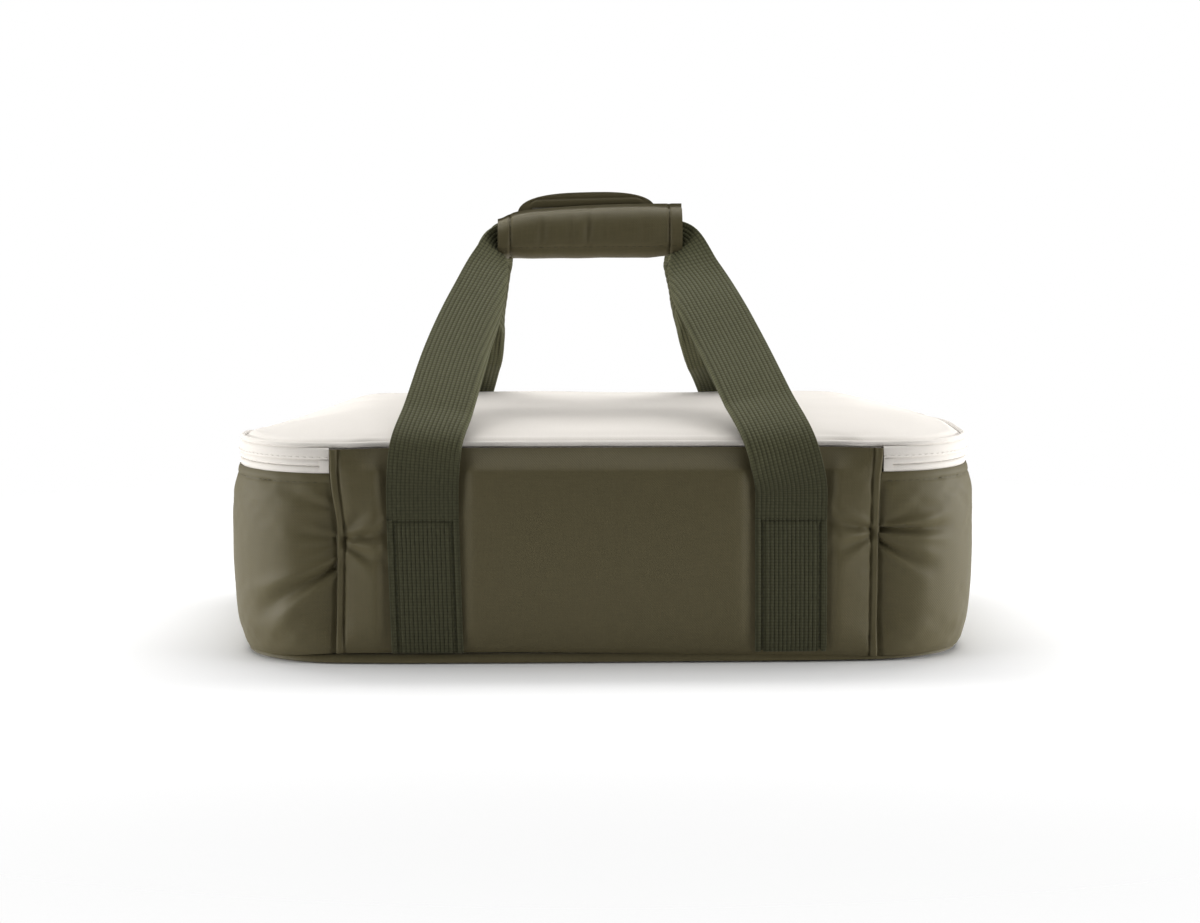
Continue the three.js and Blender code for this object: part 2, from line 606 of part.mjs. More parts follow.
// Zip sliders: two plates joined by a web that runs in the slot between the coils, with a crown
// that carries the pull. Pulls lie along the zip, away from the middle.
const PLATE_BACK = DEPTH / 2 - FABRIC;
const PLATE_FRONT = PLATE_BACK + SLIDER_PLATE;
const CROWN_HOLE_Y = PLATE_FRONT + CROWN_HEIGHT / 2;
const WEB_HALF = ZIP_SLOT / 2 - CLEARANCE;
const PLATE_HALF = ZIP_REVEAL - CLEARANCE;

function sliderGeometry() {
  const half = SLIDER_LENGTH / 2;
  const backPlateFront = DEPTH / 2 + SLIDER_BACK_OFFSET;
  const backPlateBack = backPlateFront - SLIDER_PLATE;
  const plates = [
    box([-half, PLATE_BACK, -PLATE_HALF], [half, PLATE_FRONT, PLATE_HALF]),
    box([-half, backPlateBack, -PLATE_HALF], [half, backPlateFront, PLATE_HALF]),
    box([-half, backPlateBack, -WEB_HALF], [half, PLATE_FRONT, WEB_HALF]),
    box(
      [-CROWN_LENGTH / 2, PLATE_BACK, -CROWN_WIDTH / 2],
      [CROWN_LENGTH / 2, PLATE_FRONT + CROWN_HEIGHT, CROWN_WIDTH / 2],
    ),
  ];
  const body = plates.map(solid).reduce((sum, piece) => sum.add(piece));
  const hole = new THREE.CylinderGeometry(CROWN_HOLE_RADIUS, CROWN_HOLE_RADIUS, 2 * CROWN_WIDTH, PIN_SIDES);
  hole.rotateX(Math.PI / 2).translate(0, CROWN_HOLE_Y, 0);
  return geometryOf(body.subtract(solid(hole)));
}

// The pull's pin passes through the crown, and two arms join it to the tab
function pullGeometry(side) {
  const armLow = CROWN_WIDTH / 2 + CLEARANCE;
  const armHigh = armLow + PULL_ARM;
  const halfDepth = PULL_THICKNESS / 2;
  const tabStart = CROWN_LENGTH / 2 + 2 * PULL_ARM;
  const piece = (from, to, low, high) =>
    box([side * from, -halfDepth, low], [side * to, halfDepth, high]);
  const pin = new THREE.CylinderGeometry(PULL_PIN_RADIUS, PULL_PIN_RADIUS, 2 * armHigh, PIN_SIDES);
  const pieces = [
    pin.rotateX(Math.PI / 2),
    piece(-PULL_PIN_RADIUS, tabStart + PULL_ARM, armLow, armHigh),
    piece(-PULL_PIN_RADIUS, tabStart + PULL_ARM, -armHigh, -armLow),
    piece(tabStart, PULL_LENGTH, -PULL_WIDTH / 2, PULL_WIDTH / 2),
  ];
  return geometryOf(pieces.map(solid).reduce((sum, part) => sum.add(part)));
}

for (const [sideName, side] of SIDES) {
  const runner = new THREE.Group();
  runner.position.set(side * SLIDER_SPACING / 2, 0, ZIP_Z);
  carrier.add(runner);
  addMesh(`${sideName}_slider`, sliderGeometry(), NICKEL, runner);
  const pullPivot = new THREE.Group();
  pullPivot.position.y = CROWN_HOLE_Y;
  runner.add(pullPivot);
  addMesh(`${sideName}_pull`, pullGeometry(side), NICKEL, pullPivot);
}

export default carrier;
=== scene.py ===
"""Dresses an insulated casserole carrier: padded walls, a soft zipped lid, webbing handles and a grip wrap.

Every length is in metres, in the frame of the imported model. The back, where the lid is hinged, faces -Y.
"""

import math

import bpy
import numpy as np
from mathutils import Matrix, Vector, noise


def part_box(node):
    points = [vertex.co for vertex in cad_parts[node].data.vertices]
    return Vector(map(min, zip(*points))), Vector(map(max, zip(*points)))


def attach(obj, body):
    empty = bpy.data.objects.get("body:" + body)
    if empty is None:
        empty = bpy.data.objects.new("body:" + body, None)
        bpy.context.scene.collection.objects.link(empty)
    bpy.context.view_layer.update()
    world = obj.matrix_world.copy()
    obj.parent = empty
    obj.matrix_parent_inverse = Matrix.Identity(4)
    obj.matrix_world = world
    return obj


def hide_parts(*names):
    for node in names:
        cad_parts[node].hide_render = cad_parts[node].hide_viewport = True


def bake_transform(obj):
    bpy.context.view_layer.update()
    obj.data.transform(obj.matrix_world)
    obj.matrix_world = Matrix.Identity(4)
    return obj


bl_info = {
    "name": "Casserole Carrier",
    "version": (1, 0, 0),
    "blender": (4, 5, 0),
    "location": "View3D > Sidebar > Carrier",
    "description": "Builds the soft pieces and finishes of an insulated casserole carrier",
    "category": "Add Mesh",
}

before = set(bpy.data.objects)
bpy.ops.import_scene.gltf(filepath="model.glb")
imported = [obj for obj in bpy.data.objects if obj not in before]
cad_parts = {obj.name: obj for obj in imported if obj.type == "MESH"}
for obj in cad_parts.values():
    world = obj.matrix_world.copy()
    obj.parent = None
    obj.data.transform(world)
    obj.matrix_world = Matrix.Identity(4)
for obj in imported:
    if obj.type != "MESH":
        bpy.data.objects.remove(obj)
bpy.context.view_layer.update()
MM = 0.001

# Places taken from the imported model
HALF_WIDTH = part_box("lid_band")[1].x
HALF_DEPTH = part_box("lid_band")[1].y
BASE_SEAM_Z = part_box("base_panel")[1].z
WALL_BOTTOM_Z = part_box("left_end_panel")[0].z
WALL_TOP_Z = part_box("left_end_panel")[1].z
LID_SEAM_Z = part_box("back_panel")[1].z
BAND_LOW_Z, BAND_HIGH_Z = (corner.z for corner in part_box("lid_band"))
LOWER_TAPE_LOW_Z, LOWER_TAPE_HIGH_Z = (corner.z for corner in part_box("lower_zip_tape"))
UPPER_TAPE_LOW_Z, UPPER_TAPE_HIGH_Z = (corner.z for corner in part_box("upper_zip_tape"))
PIPING_Z = sum(corner.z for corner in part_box("lid_piping")) / 2
LID_FOAM_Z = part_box("lid_foam")[0].z
LID_LINER_LOW_Z, LID_LINER_HIGH_Z = (corner.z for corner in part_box("lid_liner"))
LINER_LOW_Z, LINER_HIGH_Z = (corner.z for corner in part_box("liner_wall"))
FLOOR_PAD_LOW_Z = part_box("base_foam")[0].z
FLOOR_PAD_HIGH_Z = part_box("liner_floor")[1].z
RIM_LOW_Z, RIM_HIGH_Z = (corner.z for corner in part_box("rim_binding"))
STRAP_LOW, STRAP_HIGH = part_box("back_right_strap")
STRAP_X = (STRAP_LOW.x + STRAP_HIGH.x) / 2
STITCH_TOP_Z = STRAP_HIGH.z

# How far round its corner each seam lies, the thickness of a layer of fabric, and the room between pieces
SEAM_ANGLE = math.radians(4)
FABRIC = 1.0 * MM
GAP = 0.3 * MM

# Offsets of the layers, measured outwards from the footprint
FOAM_INNER = -8.3 * MM
LINER_OUTER = -8.6 * MM
LINER_INNER = -9.4 * MM
TAPE_OUTER = -1.3 * MM
TAPE_INNER = -2.1 * MM
COIL_OUTER = -2.4 * MM
COIL_INNER = -4.2 * MM
PIPING_INSET = 2.0 * MM
COVER_EDGE = -3.9 * MM
COVER_RISE = 1.1 * MM
LID_FOAM_EDGE = -6.1 * MM


class CarrierShape(bpy.types.PropertyGroup):
    """Sizes of the bag that a maker would change"""

    corner_radius: bpy.props.FloatProperty(
        name="Corner radius",
        description="Radius of the bag's upright corners",
        default=56 * MM,
        unit="LENGTH",
    )
    wall_bulge: bpy.props.FloatProperty(
        name="Wall bulge",
        description="How far the padded walls stand out at mid height",
        default=1.5 * MM,
        unit="LENGTH",
    )
    wall_tuck: bpy.props.FloatProperty(
        name="Wall tuck",
        description="How far the walls draw in at the base seam",
        default=2.2 * MM,
        unit="LENGTH",
    )
    back_roll: bpy.props.FloatProperty(
        name="Back roll",
        description="How far the back panel's top edge leans in towards the lid",
        default=6.4 * MM,
        unit="LENGTH",
    )
    lid_crown: bpy.props.FloatProperty(
        name="Lid crown",
        description="Height of the lid's middle above its edge",
        default=8.0 * MM,
        unit="LENGTH",
    )
    left_slump: bpy.props.FloatProperty(
        name="Left slump",
        description="How far the soft front left corner sinks",
        default=13.5 * MM,
        unit="LENGTH",
    )
    right_slump: bpy.props.FloatProperty(
        name="Right slump",
        description="How far the soft front right corner sinks",
        default=7.0 * MM,
        unit="LENGTH",
    )
    piping_radius: bpy.props.FloatProperty(
        name="Piping radius",
        description="Radius of the piping round the lid",
        default=1.6 * MM,
        unit="LENGTH",
    )


class CarrierWebbing(bpy.types.PropertyGroup):
    """Sizes of the handle webbing and its stitching"""

    width: bpy.props.FloatProperty(
        name="Width",
        description="Width of the webbing",
        default=38 * MM,
        unit="LENGTH",
    )
    thickness: bpy.props.FloatProperty(
        name="Thickness",
        description="Thickness of the webbing between its faces",
        default=1.8 * MM,
        unit="LENGTH",
    )
    ribs: bpy.props.IntProperty(
        name="Ribs",
        description="Lengthwise ribs between the two selvages",
        default=14,
    )
    selvage: bpy.props.FloatProperty(
        name="Selvage",
        description="Width of the plain edge on each side",
        default=3.2 * MM,
        unit="LENGTH",
    )
    stitch_length: bpy.props.FloatProperty(
        name="Stitch length",
        description="Length of one visible stitch",
        default=2.9 * MM,
        unit="LENGTH",
    )
    thread_radius: bpy.props.FloatProperty(
        name="Thread radius",
        description="Radius of the sewing thread",
        default=0.27 * MM,
        unit="LENGTH",
    )


class CarrierFinish(bpy.types.PropertyGroup):
    """Colours of the materials, linear"""

    olive: bpy.props.FloatVectorProperty(
        name="Olive fabric",
        description="Colour of the walls and the grip wrap",
        subtype="COLOR",
        default=(0.0985, 0.0835, 0.0405),
    )
    webbing: bpy.props.FloatVectorProperty(
        name="Webbing",
        description="Colour of the handle webbing",
        subtype="COLOR",
        default=(0.092, 0.091, 0.045),
    )
    cream: bpy.props.FloatVectorProperty(
        name="Cream canvas",
        description="Colour of the lid and the zip",
        subtype="COLOR",
        default=(0.752, 0.712, 0.66),
    )
    foil: bpy.props.FloatVectorProperty(
        name="Foil",
        description="Colour of the metallised lining",
        subtype="COLOR",
        default=(0.6, 0.61, 0.63),
    )
    nickel: bpy.props.FloatVectorProperty(
        name="Nickel",
        description="Colour of the zip sliders and pulls",
        subtype="COLOR",
        default=(0.55, 0.54, 0.51),
    )


class CarrierStage(bpy.types.PropertyGroup):
    """Light round the carrier"""

    side_light: bpy.props.FloatProperty(
        name="Side light",
        description="Power of each side light, in watts",
        default=17.8,
    )
    top_light: bpy.props.FloatProperty(
        name="Top light",
        description="Power of the overhead light, in watts",
        default=23.0,
    )
    back_light: bpy.props.FloatProperty(
        name="Back light",
        description="Power of the light high up behind, in watts",
        default=20.0,
    )
    sky: bpy.props.FloatProperty(
        name="Sky",
        description="Strength of the even light all round",
        default=0.03,
    )


def settings(name):
    """One of the property groups, as it is set on the scene"""
    return getattr(bpy.context.scene, name)


# Shape tools


def smooth(low, high, value):
    """0 below low, 1 above high, with a soft step between"""
    t = np.clip((np.asarray(value, float) - low) / (high - low), 0, 1)
    return t * t * (3 - 2 * t)


def bell(value, width):
    """1 at 0, falling softly to almost nothing at twice the width"""
    return np.exp(-((np.asarray(value, float) / width) ** 2))


def spaced(*stops):
    """Values from stop to stop: each stop is (place, step up to it)"""
    values = [np.array([stops[0][0]])]
    for (start, _), (end, step) in zip(stops, stops[1:]):
        count = max(1, round(abs(end - start) / step))
        values.append(np.linspace(start, end, count + 1)[1:])
    return np.concatenate(values)


def ripple(u, v, size, seed):
    """Soft unevenness between -1 and 1, with lumps of about the given size"""
    flat = np.stack(np.broadcast_arrays(u, v), -1).reshape(-1, 2) / size
    values = [noise.noise(Vector((a, b, seed))) for a, b in flat]
    return np.array(values).reshape(np.broadcast(u, v).shape)


# A crease's width where it starts, and where its ridges lie and how high, as shares of its width and depth
CREASE_START = 0.35
RIDGE_PLACE = 1.9
RIDGE_SHARE = 0.45


def crease(u, v, start, end, depth, width):
    """Valley that starts sharp, widens and fades towards its end, with a low ridge on each side"""
    (su, sv), (eu, ev) = start, end
    length = math.hypot(eu - su, ev - sv)
    along = ((u - su) * (eu - su) + (v - sv) * (ev - sv)) / length**2
    across = ((u - su) * (ev - sv) - (v - sv) * (eu - su)) / length
    spread = width * (CREASE_START + np.clip(along, 0, 1))
    fade = smooth(-0.06, 0.02, along) * (1 - smooth(0.25, 1.0, along))
    beside = RIDGE_PLACE * spread
    ridges = bell(across - beside, spread) + bell(across + beside, spread)
    return depth * fade * (RIDGE_SHARE * ridges - bell(across, spread))


class Footprint:
    """Rounded rectangle walked anticlockwise, seen from above, from the middle of the back"""

    def __init__(self, half_width, half_depth, radius):
        x, y = half_width - radius, half_depth - radius
        bend = radius * math.pi / 2
        self.radius = radius
        self.stretches = [
            (0, -half_depth, 0, x, False),
            (x, -half_depth, 0, bend, True),
            (half_width, -y, 1, 2 * y, False),
            (half_width, y, 1, bend, True),
            (x, half_depth, 2, 2 * x, False),
            (-x, half_depth, 2, bend, True),
            (-half_width, y, 3, 2 * y, False),
            (-half_width, -y, 3, bend, True),
            (-x, -half_depth, 0, x, False),
        ]
        self.length = sum(stretch[3] for stretch in self.stretches)
        self.back_seam = x + radius * SEAM_ANGLE
        self.front = self.length / 2
        self.front_seam = self.front - self.back_seam

    def at(self, s):
        """Point and outward normal at each distance s: arrays x, y, nx and ny"""
        s = np.mod(np.asarray(s, float), self.length)
        x, y, nx, ny = (np.zeros_like(s) for _ in range(4))
        begun = 0.0
        for px, py, quarter, length, bends in self.stretches:
            here = (s >= begun) & (s <= begun + length)
            heading = quarter * math.pi / 2
            far = s[here] - begun
            if bends:
                facing = heading - math.pi / 2 + far / self.radius
                x[here] = px - self.radius * math.sin(heading) + self.radius * np.cos(facing)
                y[here] = py + self.radius * math.cos(heading) + self.radius * np.sin(facing)
            else:
                facing = np.full_like(far, heading - math.pi / 2)
                x[here] = px + far * math.cos(heading)
                y[here] = py + far * math.sin(heading)
            nx[here], ny[here] = np.cos(facing), np.sin(facing)
            begun += length
        return x, y, nx, ny


def footprint():
    return Footprint(HALF_WIDTH, HALF_DEPTH, settings("carrier_shape").corner_radius)


# Where the sag of each soft front corner starts and is full, across the bag, front to back and in height
LEFT_SAG_X = (128 * MM, 192 * MM)
LEFT_SAG_Y = (-90 * MM, 85 * MM)
RIGHT_SAG_X = (140 * MM, 194 * MM)
RIGHT_SAG_Y = (-45 * MM, 95 * MM)
SAG_Z = (12 * MM, WALL_TOP_Z)


def slump(x, y, z):
    """How far a point sinks because the soft front corners sag"""
    shape = settings("carrier_shape")
    left = shape.left_slump * smooth(*LEFT_SAG_X, -x) * smooth(*LEFT_SAG_Y, y)
    right = shape.right_slump * smooth(*RIGHT_SAG_X, x) * smooth(*RIGHT_SAG_Y, y)
    return (left + right) * smooth(*SAG_Z, z)


def wall_offset(z):
    """How far the wall stands out from the footprint at a height"""
    shape = settings("carrier_shape")
    share = np.clip((z - BASE_SEAM_Z) / (WALL_TOP_Z - BASE_SEAM_Z), 0, 1)
    return shape.wall_bulge * np.sin(math.pi * share) - shape.wall_tuck * (1 - share) ** 3


# How far from the back seams the lid's edge is drawn in and the walls sink, and the heights of the sinking
DRAW_REACH = 30 * MM
SEAM_SINK = 4.8 * MM
SINK_REACH = 26 * MM
SINK_FOOT_Z = (4 * MM, 26 * MM)
SINK_HEAD_Z = (70 * MM, 94 * MM)


def from_back(s):
    """Distance along the footprint from the middle of the back, either way round"""
    half = footprint().length / 2
    return np.abs(np.mod(s + half, 2 * half) - half)


def back_draw(s):
    """How far the lid's back edge, and the back panel's top with it, is drawn in between the seams"""
    inside = footprint().back_seam - from_back(s)
    return settings("carrier_shape").back_roll * smooth(0, DRAW_REACH, inside)


def seam_sink(s, z):
    """How far the padded walls sink in towards the two back seams"""
    near = 1 - smooth(0, SINK_REACH, np.abs(from_back(s) - footprint().back_seam))
    return SEAM_SINK * near * smooth(*SINK_FOOT_Z, z) * (1 - smooth(*SINK_HEAD_Z, z))


def around(s, offset, z):
    """Points beside the footprint at distance s, offset outwards and height z, slump included"""
    s, offset, z = np.broadcast_arrays(s, offset, z)
    x, y, nx, ny = footprint().at(s)
    x, y = x + nx * offset, y + ny * offset
    return np.stack([x, y, z - slump(x, y, z)], -1)


# Mesh tools


def add_piece(name, points, faces, cloth=None, sharp=50):
    """Closed mesh object with faces turned out. cloth gives each point's place on its fabric."""
    points = np.asarray(points, float).reshape(-1, 3)
    mesh = bpy.data.meshes.new(name)
    mesh.from_pydata(points.tolist(), [], faces)
    mesh.update()
    mesh.calc_loop_triangles()
    corners = np.zeros(len(mesh.loop_triangles) * 3, np.int32)
    mesh.loop_triangles.foreach_get("vertices", corners)
    a, b, c = points[corners.reshape(-1, 3).T]
    if np.einsum("ij,ij->i", a, np.cross(b, c)).sum() < 0:
        mesh.flip_normals()
    mesh.shade_smooth()
    mesh.set_sharp_from_angle(angle=math.radians(sharp))
    if cloth is not None:
        place = mesh.attributes.new("cloth", "FLOAT_VECTOR", "POINT")
        place.data.foreach_set("vector", np.asarray(cloth, np.float32).reshape(-1))
    piece = bpy.data.objects.new(name, mesh)
    bpy.context.scene.collection.objects.link(piece)
    return piece


def loft(name, sections, along, girth, closed=False, sharp=50, lit_share=0.0):
    """Skin over sections (n, m, 3) of closed outlines, capped unless it closes on itself.

    along (n) and girth (m) measure the cloth in the two directions; the last argument (n) is a share from 0
    to 1 that the webbing's material turns from painted shade to painted light.
    """
    sections = np.asarray(sections, float)
    n, m, _ = sections.shape
    index = np.arange(n * m).reshape(n, m)
    rows = index if not closed else np.vstack([index, index[:1]])
    here, there = rows[:-1], rows[1:]
    quads = np.stack(
        [here, there, np.roll(there, -1, 1), np.roll(here, -1, 1)], -1
    ).reshape(-1, 4)
    faces = quads.tolist()
    if not closed:
        faces += [index[0].tolist(), index[-1][::-1].tolist()]
    u, v = np.broadcast_arrays(np.asarray(along, float)[:, None], np.asarray(girth, float)[None, :])
    painted_lit = np.broadcast_to(np.broadcast_to(lit_share, n)[:, None], (n, m))
    return add_piece(name, sections, faces, np.stack([u, v, painted_lit], -1), sharp)


def dome(name, rings, low, high, sharp=50):
    """Closed body from rings (n, m, 3), from the middle of the underside to the middle of the top"""
    rings = np.asarray(rings, float)
    n, m, _ = rings.shape
    index = np.arange(n * m).reshape(n, m)
    here, there = index[:-1], index[1:]
    quads = np.stack(
        [here, np.roll(here, -1, 1), np.roll(there, -1, 1), there], -1
    ).reshape(-1, 4)
    faces = quads.tolist()
    bottom, top = n * m, n * m + 1
    first, last = index[0].tolist(), index[-1].tolist()
    faces += [[bottom, first[(j + 1) % m], first[j]] for j in range(m)]
    faces += [[top, last[j], last[(j + 1) % m]] for j in range(m)]
    points = np.vstack([rings.reshape(-1, 3), [low, high]])
    return add_piece(name, points, faces, points, sharp)


def ring(rim, share, z):
    """Outline (m, 2) drawn in to a share of its reach, at height z"""
    return np.column_stack([rim * share, np.broadcast_to(z, len(rim))])


def outline(outer, inner, low, high, rounding=0.35 * MM):
    """Closed (offset, z) outline of a strip on edge, with its corners taken off"""
    r = rounding
    return np.array([
        (outer - r, low), (outer, low + r), (outer, high - r), (outer - r, high),
        (inner + r, high), (inner, high - r), (inner, low + r), (inner + r, low),
    ])


def girth_of(profile):
    """Distance along a line of points to each of them"""
    steps = np.linalg.norm(np.diff(profile, axis=0), axis=1)
    return np.concatenate([[0], np.cumsum(steps)])


def strip(name, profile, s, closed=False, drawn=0.0):
    """Strip that follows the footprint, from a closed (offset, z) outline, drawn in by so much at each s"""
    profile = np.asarray(profile, float)
    inward = np.broadcast_to(drawn, s.shape)[:, None]
    sections = around(s[:, None], profile[None, :, 0] - inward, profile[None, :, 1])
    return loft(name, sections, s, girth_of(profile), closed)


def finish_node(name, material, bevel, segments):
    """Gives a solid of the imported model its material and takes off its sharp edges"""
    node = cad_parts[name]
    node.data.materials.clear()
    node.data.materials.append(MATERIALS[material]())
    edge = node.modifiers.new("edge", "BEVEL")
    edge.width, edge.segments = bevel, segments


def finish_piece(piece, body, material, slot, *nodes):
    """Puts the material on, lets the piece ride and hides the solids that it stands for"""
    piece.data.materials.append(MATERIALS[material]())
    if body:
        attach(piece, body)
    if nodes:
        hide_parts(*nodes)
    return piece


def facing_of(line, outward):
    """Unit normals of a line in a plane, on the side that its middle shows to the outward direction"""
    steps = np.gradient(line, axis=0)
    normals = np.column_stack([steps[:, 1], -steps[:, 0]])
    normals /= np.linalg.norm(normals, axis=1)[:, None]
    return normals if normals[len(line) // 2].dot(outward) > 0 else -normals


def curve_through(points, places, wanted):
    """Smooth curve through points at the given places, read off at the wanted ones"""
    points, places = np.asarray(points, float), np.asarray(places, float)
    slopes = np.gradient(points, places, axis=0)
    i = np.clip(np.searchsorted(places, wanted, "right") - 1, 0, len(places) - 2)
    span = (places[i + 1] - places[i])[:, None]
    t = (wanted - places[i])[:, None] / span
    p0, p1 = points[i], points[i + 1]
    m0, m1 = slopes[i] * span, slopes[i + 1] * span
    return (
        (2 * t**3 - 3 * t**2 + 1) * p0 + (t**3 - 2 * t**2 + t) * m0
        + (3 * t**2 - 2 * t**3) * p1 + (t**3 - t**2) * m1
    )


# Stitching: each run is a path on the cloth and the way that the cloth faces along it

STITCH_GAP = 1.1 * MM
STITCH_RINGS = ((0.0, 0.35), (0.18, 0.95), (0.82, 0.95), (1.0, 0.35))
STITCH_SIDES = 6
STITCH_ARCH = 1.1
STITCH_SUNK = 0.35
STITCH_FLATNESS = 0.8


def read_off(values, lengths, distance):
    """Values along a path, at one distance from its start"""
    return np.array([np.interp(distance, lengths, column) for column in values.T])


def stitching(name, runs, body, material, slot):
    """Rows of stitches, each a short arched thread that dips into the cloth at both ends"""
    webbing = settings("carrier_webbing")
    length, radius = webbing.stitch_length, webbing.thread_radius
    turns = np.arange(STITCH_SIDES) / STITCH_SIDES * 2 * math.pi
    points, faces = [], []
    for path, normals in runs:
        path, normals = np.asarray(path, float), np.asarray(normals, float)
        lengths = girth_of(path)
        count = int((lengths[-1] + STITCH_GAP) / (length + STITCH_GAP))
        for i in range(count):
            start = i * (length + STITCH_GAP)
            tangent = read_off(path, lengths, start + length) - read_off(path, lengths, start)
            tangent /= np.linalg.norm(tangent)
            side = np.cross(tangent, read_off(normals, lengths, start + length / 2))
            side /= np.linalg.norm(side)
            up = np.cross(side, tangent)
            base = len(points)
            for share, girth in STITCH_RINGS:
                lift = radius * (STITCH_ARCH * math.sin(math.pi * share) - STITCH_SUNK)
                centre = read_off(path, lengths, start + share * length) + up * lift
                for turn in turns:
                    reach = side * math.cos(turn) + up * STITCH_FLATNESS * math.sin(turn)
                    points.append(centre + radius * girth * reach)
            for row in range(len(STITCH_RINGS) - 1):
                low = base + row * STITCH_SIDES
                for j in range(STITCH_SIDES):
                    k = (j + 1) % STITCH_SIDES
                    faces.append([low + j, low + k, low + STITCH_SIDES + k, low + STITCH_SIDES + j])
            last = base + (len(STITCH_RINGS) - 1) * STITCH_SIDES
            faces.append([base + j for j in reversed(range(STITCH_SIDES))])
            faces.append([last + j for j in range(STITCH_SIDES)])
    piece = add_piece(name, points, faces, points, sharp=80)
    return finish_piece(piece, body, material, slot)


def wall_run(s, offset, z):
    """Stitch path along the walls, with its facing"""
    s, offset, z = np.broadcast_arrays(s, offset, z)
    _, _, nx, ny = footprint().at(s)
    return around(s, offset, z), np.stack([nx, ny, np.zeros_like(nx)], -1)


# Cloth relaxed by simulation

CLOTH_FRAMES = 20
CLOTH_STEP = 5 * MM
CLOTH_CAP = 2.6 * MM
CLOTH_SETTINGS = {
    "vertex_group_mass": "pins",
    "quality": 5,
    "mass": 0.15,
    "tension_stiffness": 12,
    "compression_stiffness": 12,
    "shear_stiffness": 4,
    "bending_stiffness": 0.15,
    "shrink_min": -0.0012,
    "use_pressure": True,
    "uniform_pressure_force": 3.0,
}


def relaxed_lift(points, facing, held):
    """How far each point of a cloth grid lifts off when padding fills it

    Edges and held points stay put.
    """
    n, m, _ = points.shape
    index = np.arange(n * m).reshape(n, m)
    here, there = index[:-1], index[1:]
    quads = np.stack([here[:, :-1], there[:, :-1], there[:, 1:], here[:, 1:]], -1).reshape(-1, 4)
    mesh = bpy.data.meshes.new("cloth_trial")
    mesh.from_pydata(points.reshape(-1, 3).tolist(), [], quads.tolist())
    trial = bpy.data.objects.new("cloth_trial", mesh)
    scene = bpy.context.scene
    scene.collection.objects.link(trial)
    if mesh.polygons[0].normal.dot(Vector(facing[0, 0])) < 0:
        mesh.flip_normals()
    pins = trial.vertex_groups.new(name="pins")
    edge = np.concatenate([index[0], index[-1], index[:, 0], index[:, -1], index[held]])
    pins.add(np.unique(edge).tolist(), 1.0, "REPLACE")
    cloth = trial.modifiers.new("cloth", "CLOTH")
    for key, value in CLOTH_SETTINGS.items():
        setattr(cloth.settings, key, value)
    cloth.settings.effector_weights.gravity = 0
    cloth.collision_settings.use_collision = False
    cloth.point_cache.frame_end = CLOTH_FRAMES
    for number in range(1, CLOTH_FRAMES + 1):
        scene.frame_set(number)
    shown = trial.evaluated_get(bpy.context.evaluated_depsgraph_get())
    moved = np.zeros(n * m * 3)
    shown.data.vertices.foreach_get("co", moved)
    lift = np.einsum("ijk,ijk->ij", moved.reshape(n, m, 3) - points, facing)
    scene.frame_set(1)
    bpy.data.objects.remove(trial)
    return np.clip(lift, -CLOTH_CAP, CLOTH_CAP)


def spread_grid(values, rows, columns, new_rows, new_columns):
    """Values on a grid, read off at the places of a finer grid"""
    half = np.stack([np.interp(new_rows, rows, values[:, j]) for j in range(len(columns))], 1)
    return np.stack([np.interp(new_columns, columns, line) for line in half], 0)


# Materials


MIX_INPUTS = (0, 6, 7)
MIX_RESULT = 2


class Shader:
    """Short calls for building a node tree"""

    def __init__(self, tree):
        self.tree = tree

    def add(self, kind, inputs=(), **options):
        """New node with its options and inputs set"""
        node = self.tree.nodes.new(kind)
        for key, value in options.items():
            setattr(node, key, value)
        for key, value in dict(inputs).items():
            self.set(node.inputs[key], value)
        return node

    def set(self, socket, value):
        """Links a socket into another, or gives it a plain value"""
        if isinstance(value, bpy.types.NodeSocket):
            self.tree.links.new(value, socket)
        else:
            socket.default_value = value

    def math(self, operation, *values):
        node = self.add("ShaderNodeMath", enumerate(values), operation=operation)
        return node.outputs[0]

    def mix(self, factor, a, b):
        """Colour between a and b"""
        node = self.add("ShaderNodeMix", data_type="RGBA")
        for socket, value in zip(MIX_INPUTS, (factor, a, b)):
            self.set(node.inputs[socket], value)
        return node.outputs[MIX_RESULT]

    def spread(self, value, low, high):
        """Value from 0 to 1, spread from low to high"""
        node = self.add("ShaderNodeMapRange", {0: value, 3: low, 4: high})
        return node.outputs[0]

    def noise(self, place, scale=1.0, detail=2.0):
        node = self.add("ShaderNodeTexNoise", {"Vector": place, "Scale": scale, "Detail": detail})
        return node.outputs["Fac"]

    def stretched(self, place, scale):
        """Place with each axis scaled on its own"""
        node = self.add("ShaderNodeVectorMath", {0: place, 1: scale}, operation="MULTIPLY")
        return node.outputs[0]


def new_group(name, inputs, outputs):
    """Node group with named sockets: (name, kind, default) inputs and (name, kind) outputs"""
    tree = bpy.data.node_groups.new(name, "ShaderNodeTree")
    for label, kind, default in inputs:
        socket = tree.interface.new_socket(label, in_out="INPUT", socket_type=kind)
        if default is not None:
            socket.default_value = default
    for label, kind in outputs:
        tree.interface.new_socket(label, in_out="OUTPUT", socket_type=kind)
    shader = Shader(tree)
    return shader, shader.add("NodeGroupInput"), shader.add("NodeGroupOutput")


SLUB_SCALE = Vector((90, 1500, 1))
DYE_SCALE = 9.0


